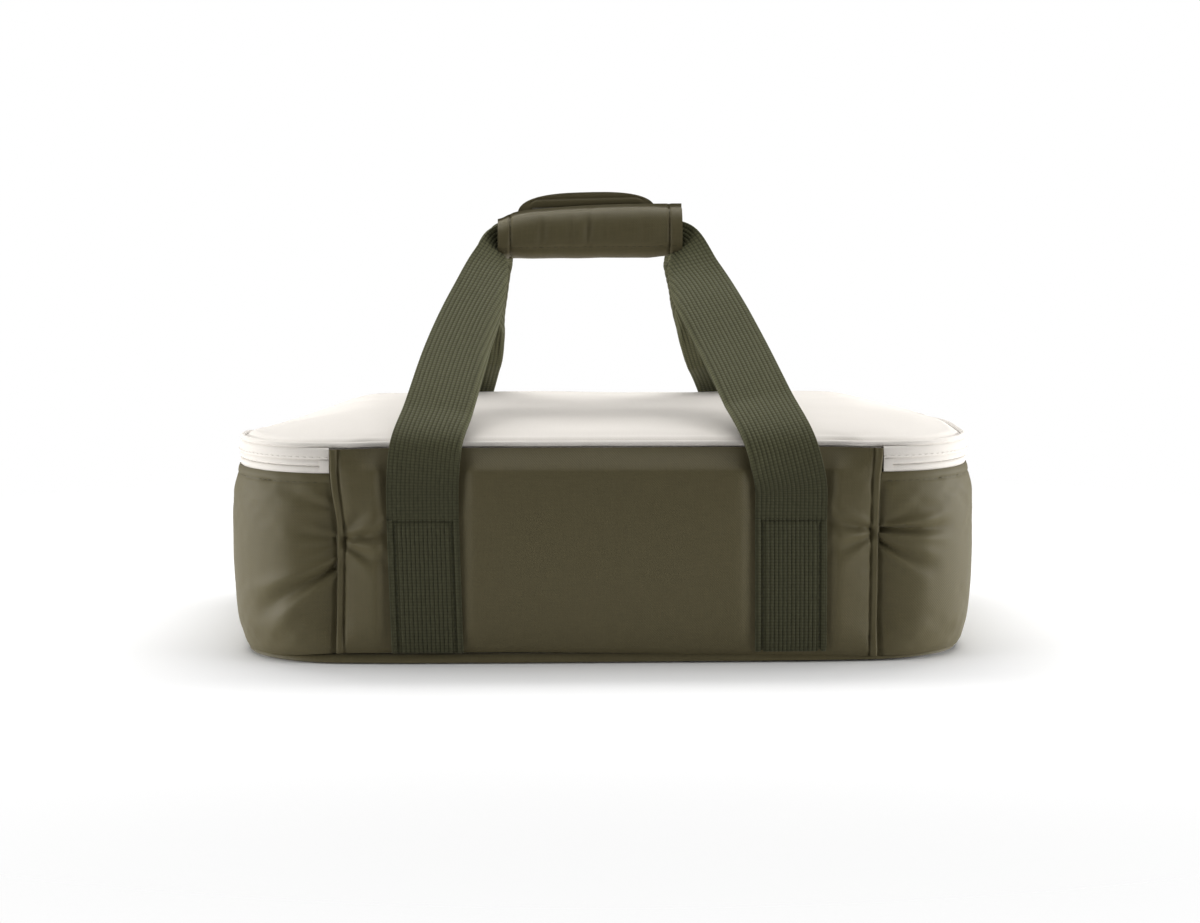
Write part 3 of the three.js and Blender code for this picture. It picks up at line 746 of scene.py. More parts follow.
def weave_group():
    """Plain weave: threads over and under, with slubs, and uneven dye"""
    if "Weave" in bpy.data.node_groups:
        return bpy.data.node_groups["Weave"]
    shader, given, out = new_group(
        "Weave",
        [
            ("Place", "NodeSocketVector", None),
            ("Threads", "NodeSocketFloat", 1400.0),
            ("Slub", "NodeSocketFloat", 0.5),
        ],
        [("Height", "NodeSocketFloat"), ("Tone", "NodeSocketFloat"), ("Dye", "NodeSocketFloat")],
    )
    place, threads, slub = (given.outputs[name] for name in ("Place", "Threads", "Slub"))
    split = shader.add("ShaderNodeSeparateXYZ", {0: place})
    turns = shader.math("MULTIPLY", threads, math.pi)
    warp = shader.math("SINE", shader.math("MULTIPLY", split.outputs[0], turns))
    weft = shader.math("SINE", shader.math("MULTIPLY", split.outputs[1], turns))
    knots = shader.math("MULTIPLY", warp, weft)
    long_slubs = shader.noise(shader.stretched(place, SLUB_SCALE), 1.0, 1.0)
    cross_slubs = shader.noise(shader.stretched(place, SLUB_SCALE.yxz), 1.0, 1.0)
    slubs = shader.math("ADD", long_slubs, cross_slubs)
    height = shader.math("MULTIPLY_ADD", slubs, slub, shader.math("MULTIPLY", knots, 0.5))
    shader.set(out.inputs["Height"], height)
    shader.set(out.inputs["Tone"], shader.math("MULTIPLY", slubs, 0.5))
    shader.set(out.inputs["Dye"], shader.noise(place, DYE_SCALE, 3.0))
    return shader.tree


# Height of the picks above the dips between them, and of those dips, as shares of a rib
PICK_RISE = 0.7
PICK_DIP = 0.36
STRAND_SCALE = (300, 900, 1)


def webbing_group():
    """Crosswise picks of webbing over its lengthwise ribs"""
    if "Webbing ribs" in bpy.data.node_groups:
        return bpy.data.node_groups["Webbing ribs"]
    shader, given, out = new_group(
        "Webbing ribs",
        [
            ("Place", "NodeSocketVector", None),
            ("Selvage", "NodeSocketFloat", 3.2 * MM),
            ("Rib pitch", "NodeSocketFloat", 2.5 * MM),
            ("Pick pitch", "NodeSocketFloat", 1.7 * MM),
        ],
        [
            ("Height", "NodeSocketFloat"), ("Valley", "NodeSocketFloat"),
            ("Tone", "NodeSocketFloat"), ("Lit share", "NodeSocketFloat"),
        ],
    )
    place = given.outputs["Place"]
    split = shader.add("ShaderNodeSeparateXYZ", {0: place})
    # The third value of the cloth place is the share of painted light along the webbing: 0 gives its
    # painted shade, 1 its painted light
    shader.set(out.inputs["Lit share"], split.outputs[2])
    from_edge = shader.math("SUBTRACT", split.outputs[1], given.outputs["Selvage"])
    rib = shader.math("DIVIDE", from_edge, given.outputs["Rib pitch"])
    inside = shader.math("FRACT", rib)
    crown = shader.math("SINE", shader.math("MULTIPLY", inside, math.pi))
    pick = shader.math("DIVIDE", split.outputs[0], given.outputs["Pick pitch"])
    bead = shader.math("ABSOLUTE", shader.math("SINE", shader.math("MULTIPLY", pick, math.pi)))
    lifted = shader.math("MULTIPLY_ADD", bead, PICK_RISE, PICK_DIP)
    shader.set(out.inputs["Height"], shader.math("MULTIPLY", crown, lifted))
    broad = shader.math("POWER", crown, 0.6)
    low = shader.math("SUBTRACT", 1.0, shader.math("MULTIPLY", broad, lifted))
    shader.set(out.inputs["Valley"], low)
    shader.set(out.inputs["Tone"], shader.noise(shader.stretched(place, STRAND_SCALE)))
    return shader.tree


def grain_group():
    """Fine grain of moulded and piled surfaces"""
    if "Grain" in bpy.data.node_groups:
        return bpy.data.node_groups["Grain"]
    shader, given, out = new_group(
        "Grain",
        [
            ("Place", "NodeSocketVector", None),
            ("Scale", "NodeSocketFloat", 900.0),
            ("Detail", "NodeSocketFloat", 2.0),
        ],
        [("Grain", "NodeSocketFloat")],
    )
    place, scale, detail = (given.outputs[name] for name in ("Place", "Scale", "Detail"))
    shader.set(out.inputs["Grain"], shader.noise(place, scale, detail))
    return shader.tree


def new_material(name):
    """Material with its node tools and its shader"""
    material = bpy.data.materials.new(name)
    material.use_nodes = True
    shader = Shader(material.node_tree)
    return material, shader, material.node_tree.nodes["Principled BSDF"]


def cloth_place(shader):
    """Where a point lies on its cloth, in metres along and across it"""
    return shader.add("ShaderNodeAttribute", attribute_name="cloth").outputs["Vector"]


def object_place(shader):
    return shader.add("ShaderNodeTexCoord").outputs["Object"]


def use_group(shader, tree, **inputs):
    """Places a node group, with an underscore for each space in its inputs' names"""
    node = shader.add("ShaderNodeGroup", node_tree=tree)
    for key, value in inputs.items():
        shader.set(node.inputs[key.replace("_", " ")], value)
    return node.outputs


def shade(colour, share):
    """Colour made darker or lighter"""
    return (*(channel * share for channel in colour), 1)


def set_plain(principled, values):
    """Sets what is the same all over the surface on the shader's own sockets"""
    for key, value in values.items():
        principled.inputs[key].default_value = value


def colour_and_gloss(shader, principled, colour, gloss):
    shader.set(principled.inputs["Base Color"], colour)
    shader.set(principled.inputs["Roughness"], gloss)


def bump(shader, principled, height, strength, distance):
    inputs = {"Height": height, "Strength": strength, "Distance": distance}
    node = shader.add("ShaderNodeBump", inputs)
    shader.set(principled.inputs["Normal"], node.outputs[0])


def once(maker):
    """Makes a material the first time that a piece asks for it"""
    def find():
        name = f"finish_{maker.__name__}"
        return bpy.data.materials.get(name) or maker(name)
    return find


def woven(name, colour, threads, slub, contrast, roughness, strength):
    """Woven cloth whose threads, slubs and dye show in its colour, gloss and surface"""
    material, shader, principled = new_material(name)
    weave = use_group(shader, weave_group(), Place=cloth_place(shader), Threads=threads, Slub=slub)
    toned = shader.mix(weave["Tone"], shade(colour, 1 - contrast), shade(colour, 1 + contrast))
    dyed = shader.mix(shader.spread(weave["Dye"], 0.0, 0.35), toned, shade(colour, 0.82))
    gloss = shader.spread(weave["Tone"], roughness - 0.1, roughness + 0.1)
    colour_and_gloss(shader, principled, dyed, gloss)
    bump(shader, principled, weave["Height"], strength, 0.12 * MM)
    return material, principled


def grained(name, place_of, scale, detail, dark, light, gloss, strength, depth):
    """Finish whose fine grain shows in its colour, gloss and surface"""
    material, shader, principled = new_material(name)
    place = place_of(shader)
    grain = use_group(shader, grain_group(), Place=place, Scale=scale, Detail=detail)["Grain"]
    tone = shader.mix(grain, dark, light)
    colour_and_gloss(shader, principled, tone, shader.spread(grain, *gloss))
    bump(shader, principled, grain, strength, depth)
    return material, principled


def olive_fabric(name):
    material, principled = woven(name, settings("carrier_finish").olive, 1500, 0.5, 0.22, 0.58, 0.5)
    set_plain(principled, {
        "Sheen Weight": 0.14,
        "Sheen Roughness": 0.4,
        "Sheen Tint": (1.0, 0.95, 0.82, 1),
        "Specular IOR Level": 0.2,
    })
    return material


def cream_canvas(name):
    material, principled = woven(name, settings("carrier_finish").cream, 1250, 0.4, 0.05, 0.8, 0.35)
    set_plain(principled, {"Sheen Weight": 0.08, "Specular IOR Level": 0.3})
    return material


def olive_thread(name):
    colour = [0.7 * channel for channel in settings("carrier_finish").olive]
    material, principled = woven(name, colour, 2500, 0.5, 0.2, 0.5, 0.6)
    set_plain(principled, {"Specular IOR Level": 0.25})
    return material


def webbing_thread(name):
    colour = [0.42 * channel for channel in settings("carrier_finish").webbing]
    material, principled = woven(name, colour, 2500, 0.5, 0.2, 0.6, 0.6)
    set_plain(principled, {"Specular IOR Level": 0.2})
    return material


def cream_thread(name):
    material, principled = woven(name, settings("carrier_finish").cream, 2500, 0.5, 0.06, 0.6, 0.6)
    set_plain(principled, {"Sheen Weight": 0.1})
    return material


def olive_webbing(name):
    """Ribbed webbing, with painted shade on its sewn-down ends, painted light on its free legs and painted
    shade in the valleys between its ribs and picks
    """
    colour, webbing = settings("carrier_finish").webbing, settings("carrier_webbing")
    material, shader, principled = new_material(name)
    pitch = (webbing.width - 2 * webbing.selvage) / webbing.ribs
    ribs = use_group(
        shader, webbing_group(), Place=cloth_place(shader), Selvage=webbing.selvage, Rib_pitch=pitch,
    )
    # Painted shade for the sewn-down ends and painted light for the free legs, in place of the shade on the
    # upright straps and the light on the tilted legs; the share along the webbing blends them
    painted_shaded = shader.mix(ribs["Tone"], shade(colour, 0.4), shade(colour, 0.75))
    painted_lit = shader.mix(ribs["Tone"], shade(colour, 0.72), shade(colour, 1.35))
    toned = shader.mix(ribs["Lit share"], painted_shaded, painted_lit)
    # Painted shade darkens the valleys between the ribs and picks
    valley_shade = shader.spread(ribs["Valley"], -0.15, 0.8)
    coloured = shader.mix(valley_shade, toned, shade(colour, 0.3))
    colour_and_gloss(shader, principled, coloured, shader.spread(ribs["Valley"], 0.62, 0.9))
    set_plain(principled, {
        "Sheen Weight": 0.12,
        "Sheen Tint": (0.95, 0.95, 0.75, 1),
        "Specular IOR Level": 0.15,
    })
    bump(shader, principled, ribs["Height"], 0.8, 0.3 * MM)
    return material


def foil_lining(name):
    """Metallised film over a coarse scrim, slightly crumpled"""
    colour = settings("carrier_finish").foil
    material, shader, principled = new_material(name)
    place = cloth_place(shader)
    weave = use_group(shader, weave_group(), Place=place, Threads=260, Slub=0.2)
    creases = shader.add(
        "ShaderNodeTexVoronoi", {"Vector": place, "Scale": 38.0}, feature="DISTANCE_TO_EDGE",
    )
    folds = shader.spread(creases.outputs["Distance"], 0.0, 0.7)
    tone = shader.mix(weave["Dye"], shade(colour, 0.82), shade(colour, 1.12))
    colour_and_gloss(shader, principled, tone, shader.spread(weave["Dye"], 0.26, 0.46))
    set_plain(principled, {"Metallic": 0.85})
    bump(shader, principled, shader.math("ADD", folds, weave["Height"]), 0.25, 0.5 * MM)
    return material


def zip_nylon(name):
    colour = settings("carrier_finish").cream
    material, _ = grained(
        name, cloth_place, 900.0, 2.0, shade(colour, 0.8), shade(colour, 0.98), (0.32, 0.5), 0.2, 0.1 * MM,
    )
    return material


def hook_pile(name):
    colour = settings("carrier_finish").olive
    material, principled = grained(
        name, cloth_place, 1600.0, 3.0, shade(colour, 0.25), shade(colour, 0.75),
        (0.75, 0.98), 1.0, 0.5 * MM,
    )
    set_plain(principled, {"Sheen Weight": 0.3})
    return material


def nickel_plate(name):
    """Plated metal with a light haze and fine scuffs"""
    colour = settings("carrier_finish").nickel
    material, shader, principled = new_material(name)
    place = object_place(shader)
    haze = shader.noise(place, 300.0, 4.0)
    scuff = shader.noise(shader.stretched(place, (2500, 300, 2500)))
    tone = shader.mix(haze, shade(colour, 0.94), shade(colour, 1.05))
    colour_and_gloss(shader, principled, tone, shader.spread(scuff, 0.2, 0.3))
    set_plain(principled, {"Metallic": 1.0})
    bump(shader, principled, scuff, 0.012, 0.1 * MM)
    return material


def board_plastic(name):
    dark, light = (0.018, 0.019, 0.02, 1), (0.04, 0.041, 0.042, 1)
    material, _ = grained(name, object_place, 700.0, 3.0, dark, light, (0.5, 0.75), 0.3, 0.2 * MM)
    return material


MATERIALS = {
    maker.__name__: once(maker)
    for maker in (
        olive_fabric, cream_canvas, olive_thread, cream_thread, olive_webbing, webbing_thread,
        foil_lining, zip_nylon, hook_pile, nickel_plate, board_plastic,
    )
}


# Walls

# Felled seams: the fold, the groove of its sewing line, the pinches along it and the puckers beside it
FELL_WIDTH = 3.9 * MM
FELL_RISE = 0.75 * MM
FELL_ROLL = 0.35 * MM
SEWING_LINE = FELL_WIDTH + 0.35 * MM
GROOVE = 0.9 * MM
PINCH_SIZE = 6.5 * MM
BUNCHING = 0.35 * MM
PUCKER_Z = 68 * MM
PUCKER_DEPTH = 0.9 * MM
LOW_PUCKER_DROP = 17 * MM

# Plain seams and the hem along the top
SEAM_DIP = 1.5 * MM
HEM = 4.4 * MM
HEM_LINE = HEM + 0.3 * MM
HEM_RISE = 0.25 * MM
HEM_GROOVE = 0.4 * MM
HEM_EDGE_DIP = 0.6 * MM

# Padding: its swell between the seams, as steep and gentle shares with their reach, flat under the webbing
SWELL = 2.3 * MM
STEEP_SWELL = (0.6, 11 * MM)
GENTLE_SWELL = (0.4, 30 * MM)
SWELL_RISE = 16 * MM
PRESS_FADE = (0.5 * MM, 8 * MM)
PRESSED_FLAT = 0.9
CRUSH_SHARE = 0.22

# Foot of the wall over the base, and the back panel's rolled top
FOOT_DIP = 1.2 * MM
SKIRT_SAG = 2.9 * MM
SKIRT_HEIGHT = 30 * MM
LEFT_SKIRT_X = (140 * MM, 185 * MM)
CURL_X = (-60 * MM, 150 * MM)
ROLL_HEIGHT = 11.4 * MM
ROLL_CURVE = 1.12

# Drift of the back seams
LEAN_REACH = 22 * MM
LEAN_DROP = 8 * MM
LEFT_LEAN = 3.6 * MM
LEFT_RETURN = 1.3 * MM
RIGHT_LEAN = 1.7 * MM

# Creases of each wall: start and end as (distance from its seam, height), depth and width, in millimetres
CREASES = {
    "left_end": [
        ((0, 67), (-26, 71), 1.5, 3.2), ((0, 65), (-30, 60), 1.0, 3.0),
        ((0, 53), (-56, 17), 3.6, 5.2), ((-3, 84), (-30, 96), 0.8, 5.0),
    ],
    "right_end": [
        ((0, 71), (46, 71.5), 3.6, 3.0), ((0, 65), (36, 45), 2.8, 3.6),
        ((4, 73), (34, 90), 0.8, 5.0), ((3, 30), (40, 18), 0.5, 6.0),
    ],
    "back": [
        ((4, 67), (46, 73), 2.6, 4.6), ((4, 64), (34, 52), 1.9, 4.2), ((5, 70), (24, 92), 1.2, 4.6),
        ((-4, 71), (-46, 80), 2.4, 4.6), ((-4, 68), (-36, 56), 1.5, 4.4),
    ],
    "front": [
        ((5, 66), (34, 72), 1.0, 3.4), ((-5, 63), (-36, 55), 1.1, 3.4), ((-5, 66), (-24, 82), 0.6, 3.2),
    ],
}


def seam_lean(s, z):
    """Sideways drift of the two back seams, which were not sewn quite straight"""
    path = footprint()
    half = path.length / 2
    to_left = np.mod(s + path.back_seam + half, path.length) - half
    to_right = np.mod(s - path.back_seam + half, path.length) - half
    left = LEFT_LEAN * smooth(LID_SEAM_Z - LEAN_DROP, PUCKER_Z, z)
    left = left - LEFT_RETURN * smooth(PUCKER_Z, BASE_SEAM_Z, z)
    right = -RIGHT_LEAN * smooth(BAND_HIGH_Z, WALL_TOP_Z - LEAN_DROP, z)
    return bell(to_left, LEAN_REACH) * left + bell(to_right, LEAN_REACH) * right


def base_curl(x):
    """0 at the left of the base, 1 at the right, where its tray curls in under the wall"""
    return smooth(*CURL_X, x)


class Wall:
    """One padded wall between two seams, from start to end along the footprint"""

    EDGE = 8 * MM
    SHOULDER = 50 * MM
    HEAD = 20 * MM
    INNER_ROWS = 14
    # Folded top edge: steps inwards and down, in millimetres
    TURN_IN = np.array([0.4, 0.8, 1.0])
    TURN_DOWN = np.array([0.0, 0.2, 0.6])

    def __init__(self, name, start, end, top, felled, seed):
        self.name, self.start, self.end, self.top = name, start, end, top
        self.felled, self.seed = felled, seed
        self.s = spaced(
            (start, 0), (start + self.EDGE, 0.5 * MM), (start + self.SHOULDER, 1.2 * MM),
            (end - self.SHOULDER, 2.4 * MM), (end - self.EDGE, 1.2 * MM), (end, 0.5 * MM),
        )
        self.z = spaced(
            (WALL_BOTTOM_Z, 0), (WALL_BOTTOM_Z + self.EDGE, 1.0 * MM),
            (top - self.HEAD, 1.3 * MM), (top, 0.8 * MM),
        )

    def pressed(self, s):
        """1 where webbing lies on the wall and keeps it flat, 0 away from it"""
        if not self.felled:
            return np.zeros_like(s)
        middle = 0 if self.name == "back" else footprint().front
        half = settings("carrier_webbing").width / 2
        reach = np.abs(np.abs(s - middle) - STRAP_X)
        return 1 - smooth(half + PRESS_FADE[0], half + PRESS_FADE[1], reach)

    def padding(self, s, z, inset):
        """How the padding swells between the seams"""
        rise = np.minimum(z - WALL_BOTTOM_Z, self.top - z)
        sides = sum(share * smooth(0, reach, inset) for share, reach in (STEEP_SWELL, GENTLE_SWELL))
        return SWELL * sides * smooth(0, SWELL_RISE, rise) * (1 - PRESSED_FLAT * self.pressed(s))

    def felled_seams(self, s, z, inset):
        """Fold of cloth along each seam, pinched by its stitches, with puckers beside it"""
        side = np.where(s < (self.start + self.end) / 2, 0.0, 1.0)
        pinch = ripple(z, side, PINCH_SIZE, self.seed + 9)
        fold = smooth(0, 0.5 * MM, inset) * (1 - smooth(FELL_WIDTH - 0.7 * MM, FELL_WIDTH, inset))
        height = FELL_RISE * fold * (1 + 0.5 * pinch) + FELL_ROLL * bell(inset - 1.0 * MM, 0.9 * MM)
        height = height - GROOVE * (1 + 0.7 * pinch) * bell(inset - SEWING_LINE, 0.9 * MM)
        height = height + BUNCHING * pinch * bell(inset - FELL_WIDTH - 4 * MM, 3 * MM)
        puckers = bell(z - PUCKER_Z, 3.5 * MM) + 0.5 * bell(z - PUCKER_Z + LOW_PUCKER_DROP, 3 * MM)
        return height - PUCKER_DEPTH * puckers * bell(inset - 3 * MM, 4 * MM)

    def plain_seams(self, z, inset):
        """Seams sunk into the padding, and the turned hem along the top"""
        drop = self.top - z
        height = -SEAM_DIP * smooth(2 * MM, 14 * MM, drop) * bell(inset, 2.4 * MM)
        hem = HEM_RISE * smooth(HEM + 0.4 * MM, HEM - 0.5 * MM, drop)
        dips = HEM_EDGE_DIP * bell(drop, 1.0 * MM) + HEM_GROOVE * bell(drop - HEM_LINE, 0.8 * MM)
        return height + hem - dips

    def relief(self, s, z):
        """Outer face beside the plain wall: padding, seams, hem, creases and unevenness"""
        inset = np.minimum(s - self.start, self.end - s)
        seams = self.felled_seams(s, z, inset) if self.felled else self.plain_seams(z, inset)
        height = self.padding(s, z, inset) + seams
        height = height - FOOT_DIP * bell(z - WALL_BOTTOM_Z, 1.8 * MM) - seam_sink(s, z)
        for (su, sv), (eu, ev), depth, width in CREASES[self.name]:
            edge = self.start if eu > su else self.end
            start, end = (edge + su * MM, sv * MM), (edge + eu * MM, ev * MM)
            height = height + crease(s, z, start, end, depth * MM, width * MM)
        drape = 0.5 * ripple(s, z, 45 * MM, self.seed) + 0.22 * ripple(s, z, 17 * MM, self.seed + 5)
        return height + MM * drape * smooth(0, 12 * MM, inset) * (1 - 0.7 * self.pressed(s))

    def skirt(self, s, z):
        """How far the wall's foot sags over the base tray"""
        x, _, _, _ = footprint().at(s)
        sag = SKIRT_SAG * np.maximum(base_curl(x), smooth(*LEFT_SKIRT_X, -x))
        return sag * (1 - smooth(WALL_BOTTOM_Z, WALL_BOTTOM_Z + SKIRT_HEIGHT, z))

    def lean_in(self, s, z):
        """How far the back panel's top leans in, between its seams"""
        if self.top == WALL_TOP_Z:
            return 0
        rise = np.clip((z - LID_SEAM_Z + ROLL_HEIGHT) / ROLL_HEIGHT, 0, 1)
        return back_draw(s) * rise**ROLL_CURVE

    def face(self, s, z):
        """Offset of the outer face"""
        x, y, _, _ = footprint().at(s)
        middle = np.sin(math.pi * np.clip(z / WALL_TOP_Z, 0, 1))
        crushed = CRUSH_SHARE * slump(x, y, WALL_TOP_Z) * middle
        return wall_offset(z) + crushed - self.lean_in(s, z) + self.relief(s, z)

    def filled(self):
        """Extra lift of the cloth over the padding, from the simulation"""
        s = spaced((self.start, 0), (self.end, CLOTH_STEP))
        z = spaced((WALL_BOTTOM_Z, 0), (self.top, CLOTH_STEP))
        rows, columns = np.meshgrid(s, z, indexing="ij")
        path, facing = wall_run(rows, wall_offset(columns), columns)
        sewn = (self.pressed(rows) > 0.5) & (columns < STITCH_TOP_Z)
        lift = relaxed_lift(path, facing, sewn)
        return spread_grid(lift, s, z, self.s, self.z) * (1 - self.pressed(self.s)[:, None])

    def build(self):
        """Outer face, folded top edge and the foam's inner face, as one closed body"""
        count = len(self.s)
        s, z = np.meshgrid(self.s, self.z, indexing="ij")
        outer = self.face(s, z) + self.filled()
        turned = outer[:, -1:] - self.TURN_IN * MM
        turned_z = self.top - self.TURN_DOWN * MM
        inner_top = min(self.top, LINER_HIGH_Z)
        inner_z = np.linspace(inner_top, max(WALL_BOTTOM_Z, FLOOR_PAD_LOW_Z), self.INNER_ROWS)
        inner = wall_offset(inner_z) + FOAM_INNER
        offsets = np.hstack([outer, turned, np.tile(inner, (count, 1))])
        heights = np.hstack([z, np.tile(np.concatenate([turned_z, inner_z]), (count, 1))])
        across = self.s[:, None] + seam_lean(self.s[:, None], heights)
        sections = around(across, offsets, heights - self.skirt(across, heights))
        over_edge = self.top + 2 * MM * np.arange(1, len(self.TURN_IN) + 1)
        down_inside = self.top + 10 * MM + inner_top - inner_z
        girth = np.concatenate([self.z, over_edge, down_inside])
        return loft(f"{self.name}_wall", sections, self.s, girth)


def walls():
    """The four walls, by name"""
    path = footprint()
    half = GAP / 2
    back, front, length = path.back_seam, path.front_seam, path.length
    return {
        "back": Wall("back", half - back, back - half, LID_SEAM_Z, True, 1.0),
        "right_end": Wall("right_end", back + half, front - half, WALL_TOP_Z, False, 2.0),
        "front": Wall("front", front + half, length - front - half, WALL_TOP_Z, True, 3.0),
        "left_end": Wall("left_end", length - front + half, length - back - half, WALL_TOP_Z, False, 4.0),
    }


class CARRIER_OT_walls(bpy.types.Operator):
    """Builds the four padded walls"""

    bl_idname = "carrier.walls"
    bl_label = "Padded Walls"

    def execute(self, context):
        for name, wall in walls().items():
            piece = wall.build()
            finish_piece(piece, "body", "olive_fabric", "olive_fabric", f"{name}_panel", f"{name}_foam")
        return {"FINISHED"}


class CARRIER_OT_wall_stitching(bpy.types.Operator):
    """Sews the felled seams and the hems of the walls"""

    bl_idname = "carrier.wall_stitching"
    bl_label = "Wall Stitching"

    def execute(self, context):
        runs = []
        for wall in walls().values():
            if wall.felled:
                z = np.arange(WALL_BOTTOM_Z + 2 * MM, wall.top - 1.5 * MM, MM)
                for edge, way in ((wall.start, 1), (wall.end, -1)):
                    s = np.full_like(z, edge + way * SEWING_LINE)
                    runs.append(wall_run(s + seam_lean(edge, z), wall.face(s, z), z))
            if wall.top == WALL_TOP_Z:
                s = np.arange(wall.start + 2 * MM, wall.end - 2 * MM, 1.5 * MM)
                z = wall.top - HEM_LINE
                runs.append(wall_run(s, wall.face(s, np.full_like(s, z)), z))
        stitching("wall_stitches", runs, "body", "olive_thread", "olive_fabric")
        return {"FINISHED"}


class CARRIER_OT_base(bpy.types.Operator):
    """Builds the base tray, and finishes the board inside it"""

    bl_idname = "carrier.base"
    bl_label = "Base Tray"

    # Rim of the tray from its foot up and over: offset from the footprint and height, in millimetres
    RIM = (
        (-8.5, 0.0), (-4.0, 0.05), (-1.4, 0.4), (-0.5, 1.1),
        (-0.7, 2.0), (-1.6, 3.2), (-3.0, 4.4), (-5.0, 5.3),
    )
    TUCK = 3.6 * MM
    TUCK_X = (95 * MM, 180 * MM)
    CURL = 0.9 * MM
    FOOT_CURL = 5 * MM

    def execute(self, context):
        s = spaced((0, 0), (footprint().length, 3 * MM))[:-1]
        x, _, _, _ = footprint().at(s)
        tucked = self.TUCK * smooth(*self.TUCK_X, np.abs(x))
        rings = []
        for offset, z in self.RIM:
            at_foot = 1 - smooth(0, 0.2, z / self.RIM[-1][1])
            inset = tucked + base_curl(x) * (self.CURL + self.FOOT_CURL * at_foot)
            wave = 0.25 * MM * ripple(s, np.full_like(s, z * MM), 30 * MM, 7.0)
            rings.append(around(s, offset * MM - inset + wave, z * MM))
        lip, foot = rings[-1][:, :2], rings[0][:, :2]
        rings += [ring(lip, 0.995, BASE_SEAM_Z - 0.4 * MM), ring(foot, 0.985, FABRIC)]
        tray = dome("base_tray", rings, (0, 0, 0), (0, 0, FABRIC))
        finish_piece(tray, "body", "olive_fabric", "olive_fabric", "base_panel")
        finish_node("base_board", "board_plastic", 0.6 * MM, 1)
        return {"FINISHED"}


class CARRIER_OT_lining(bpy.types.Operator):
    """Builds the foil lining, the padded floor and the binding on the rim"""

    bl_idname = "carrier.lining"
    bl_label = "Lining"

    def execute(self, context):
        s = spaced((0, 0), (footprint().length, 4 * MM))[:-1]
        self.foil(s)
        self.floor_pad(s)
        profile = outline(COIL_OUTER, LINER_INNER, RIM_LOW_Z, RIM_HIGH_Z, 0.45 * MM)
        binding = strip("rim_tape", profile, s, closed=True)
        finish_piece(binding, "body", "olive_fabric", "olive_fabric", "rim_binding")
        return {"FINISHED"}

    def foil(self, s):
        """Foil round the walls, creased on its inner face"""
        path = footprint()
        z = spaced((LINER_LOW_Z, 0), (LINER_HIGH_Z, 5 * MM))
        rows, columns = np.meshgrid(s, z, indexing="ij")
        creased = 0.7 * MM * ripple(rows, columns, 22 * MM, 11.0)
        creased = creased * smooth(0, 15 * MM, LINER_HIGH_Z - columns)
        down = columns[:, ::-1]
        inner = wall_offset(columns) + LINER_INNER - np.abs(creased)
        outer = wall_offset(down) + LINER_OUTER
        sections = around(rows[:, :1], np.hstack([inner, outer]), np.hstack([columns, down]))
        girth = np.concatenate([z, LINER_HIGH_Z + (LINER_HIGH_Z - z[::-1])])
        wall = loft("liner_wall_foil", sections, s, girth, closed=True)
        finish_piece(wall, "body", "foil_lining", "foil_liner", "liner_wall")

    def floor_pad(self, s):
        """Padded floor, with its upper edge rounded off"""
        shares = spaced((0.03, 0), (0.9, 0.05), (0.985, 0.02), (1.0, 0.005))
        rim = around(s, wall_offset(LINER_LOW_Z) + LINER_OUTER, np.zeros_like(s))[:, :2]
        low = [ring(rim, share, FLOOR_PAD_LOW_Z) for share in shares]
        rounded = FLOOR_PAD_HIGH_Z - 0.9 * MM * smooth(0.985, 1.0, shares)
        high = [ring(rim, share, z) for share, z in zip(shares, rounded)]
        floor = dome("floor_pad", low + high[::-1], (0, 0, FLOOR_PAD_LOW_Z), (0, 0, FLOOR_PAD_HIGH_Z))
        finish_piece(floor, "body", "foil_lining", "foil_liner", "liner_floor", "base_foam")


# Zip

TOOTH = 1.5 * MM
TURN_DIP = 0.28
STOP_LENGTH = 5 * MM

# Round lip along the slot: offset and distance from the tape's edge, in millimetres, and where it starts
TAPE_LIP = ((-0.9, 2.9), (-0.45, 1.9), (-0.3, 0.9), (-0.5, 0.1), (-0.9, -0.35), (-1.4, -0.64))
LIP_START = 3.6 * MM


def zip_walk(step):
    """Places along the zip, round the three sides from one back seam to the other"""
    path = footprint()
    start = path.back_seam + GAP / 2
    return spaced((start, 0), (path.length - start, step))


def tape_outline(slot, sewn):
    """Zip tape from its sewn edge to the slot, where it is folded into a round lip"""
    way = 1 if sewn > slot else -1
    lip = [(offset * MM, slot + way * height * MM) for offset, height in TAPE_LIP]
    face = [(TAPE_OUTER, sewn), (TAPE_OUTER, slot + way * LIP_START)]
    return np.array(face + lip + [(TAPE_INNER, slot), (TAPE_INNER, sewn)])


def coil(name, low, high):
    """Row of zip teeth, as a coil whose turns stand out"""
    s = zip_walk(TOOTH / 4)
    turn = 0.5 + 0.5 * np.cos(2 * math.pi * s / TOOTH)
    middle = np.array([(COIL_OUTER + COIL_INNER) / 2, (low + high) / 2])
    profile = outline(COIL_OUTER, COIL_INNER, low, high, 0.7 * MM)
    girth = 1 - TURN_DIP + TURN_DIP * turn
    spread = middle + (profile - middle)[None] * girth[:, None, None]
    sections = around(s[:, None], spread[..., 0], spread[..., 1])
    return loft(name, sections, s, girth_of(profile), sharp=70)


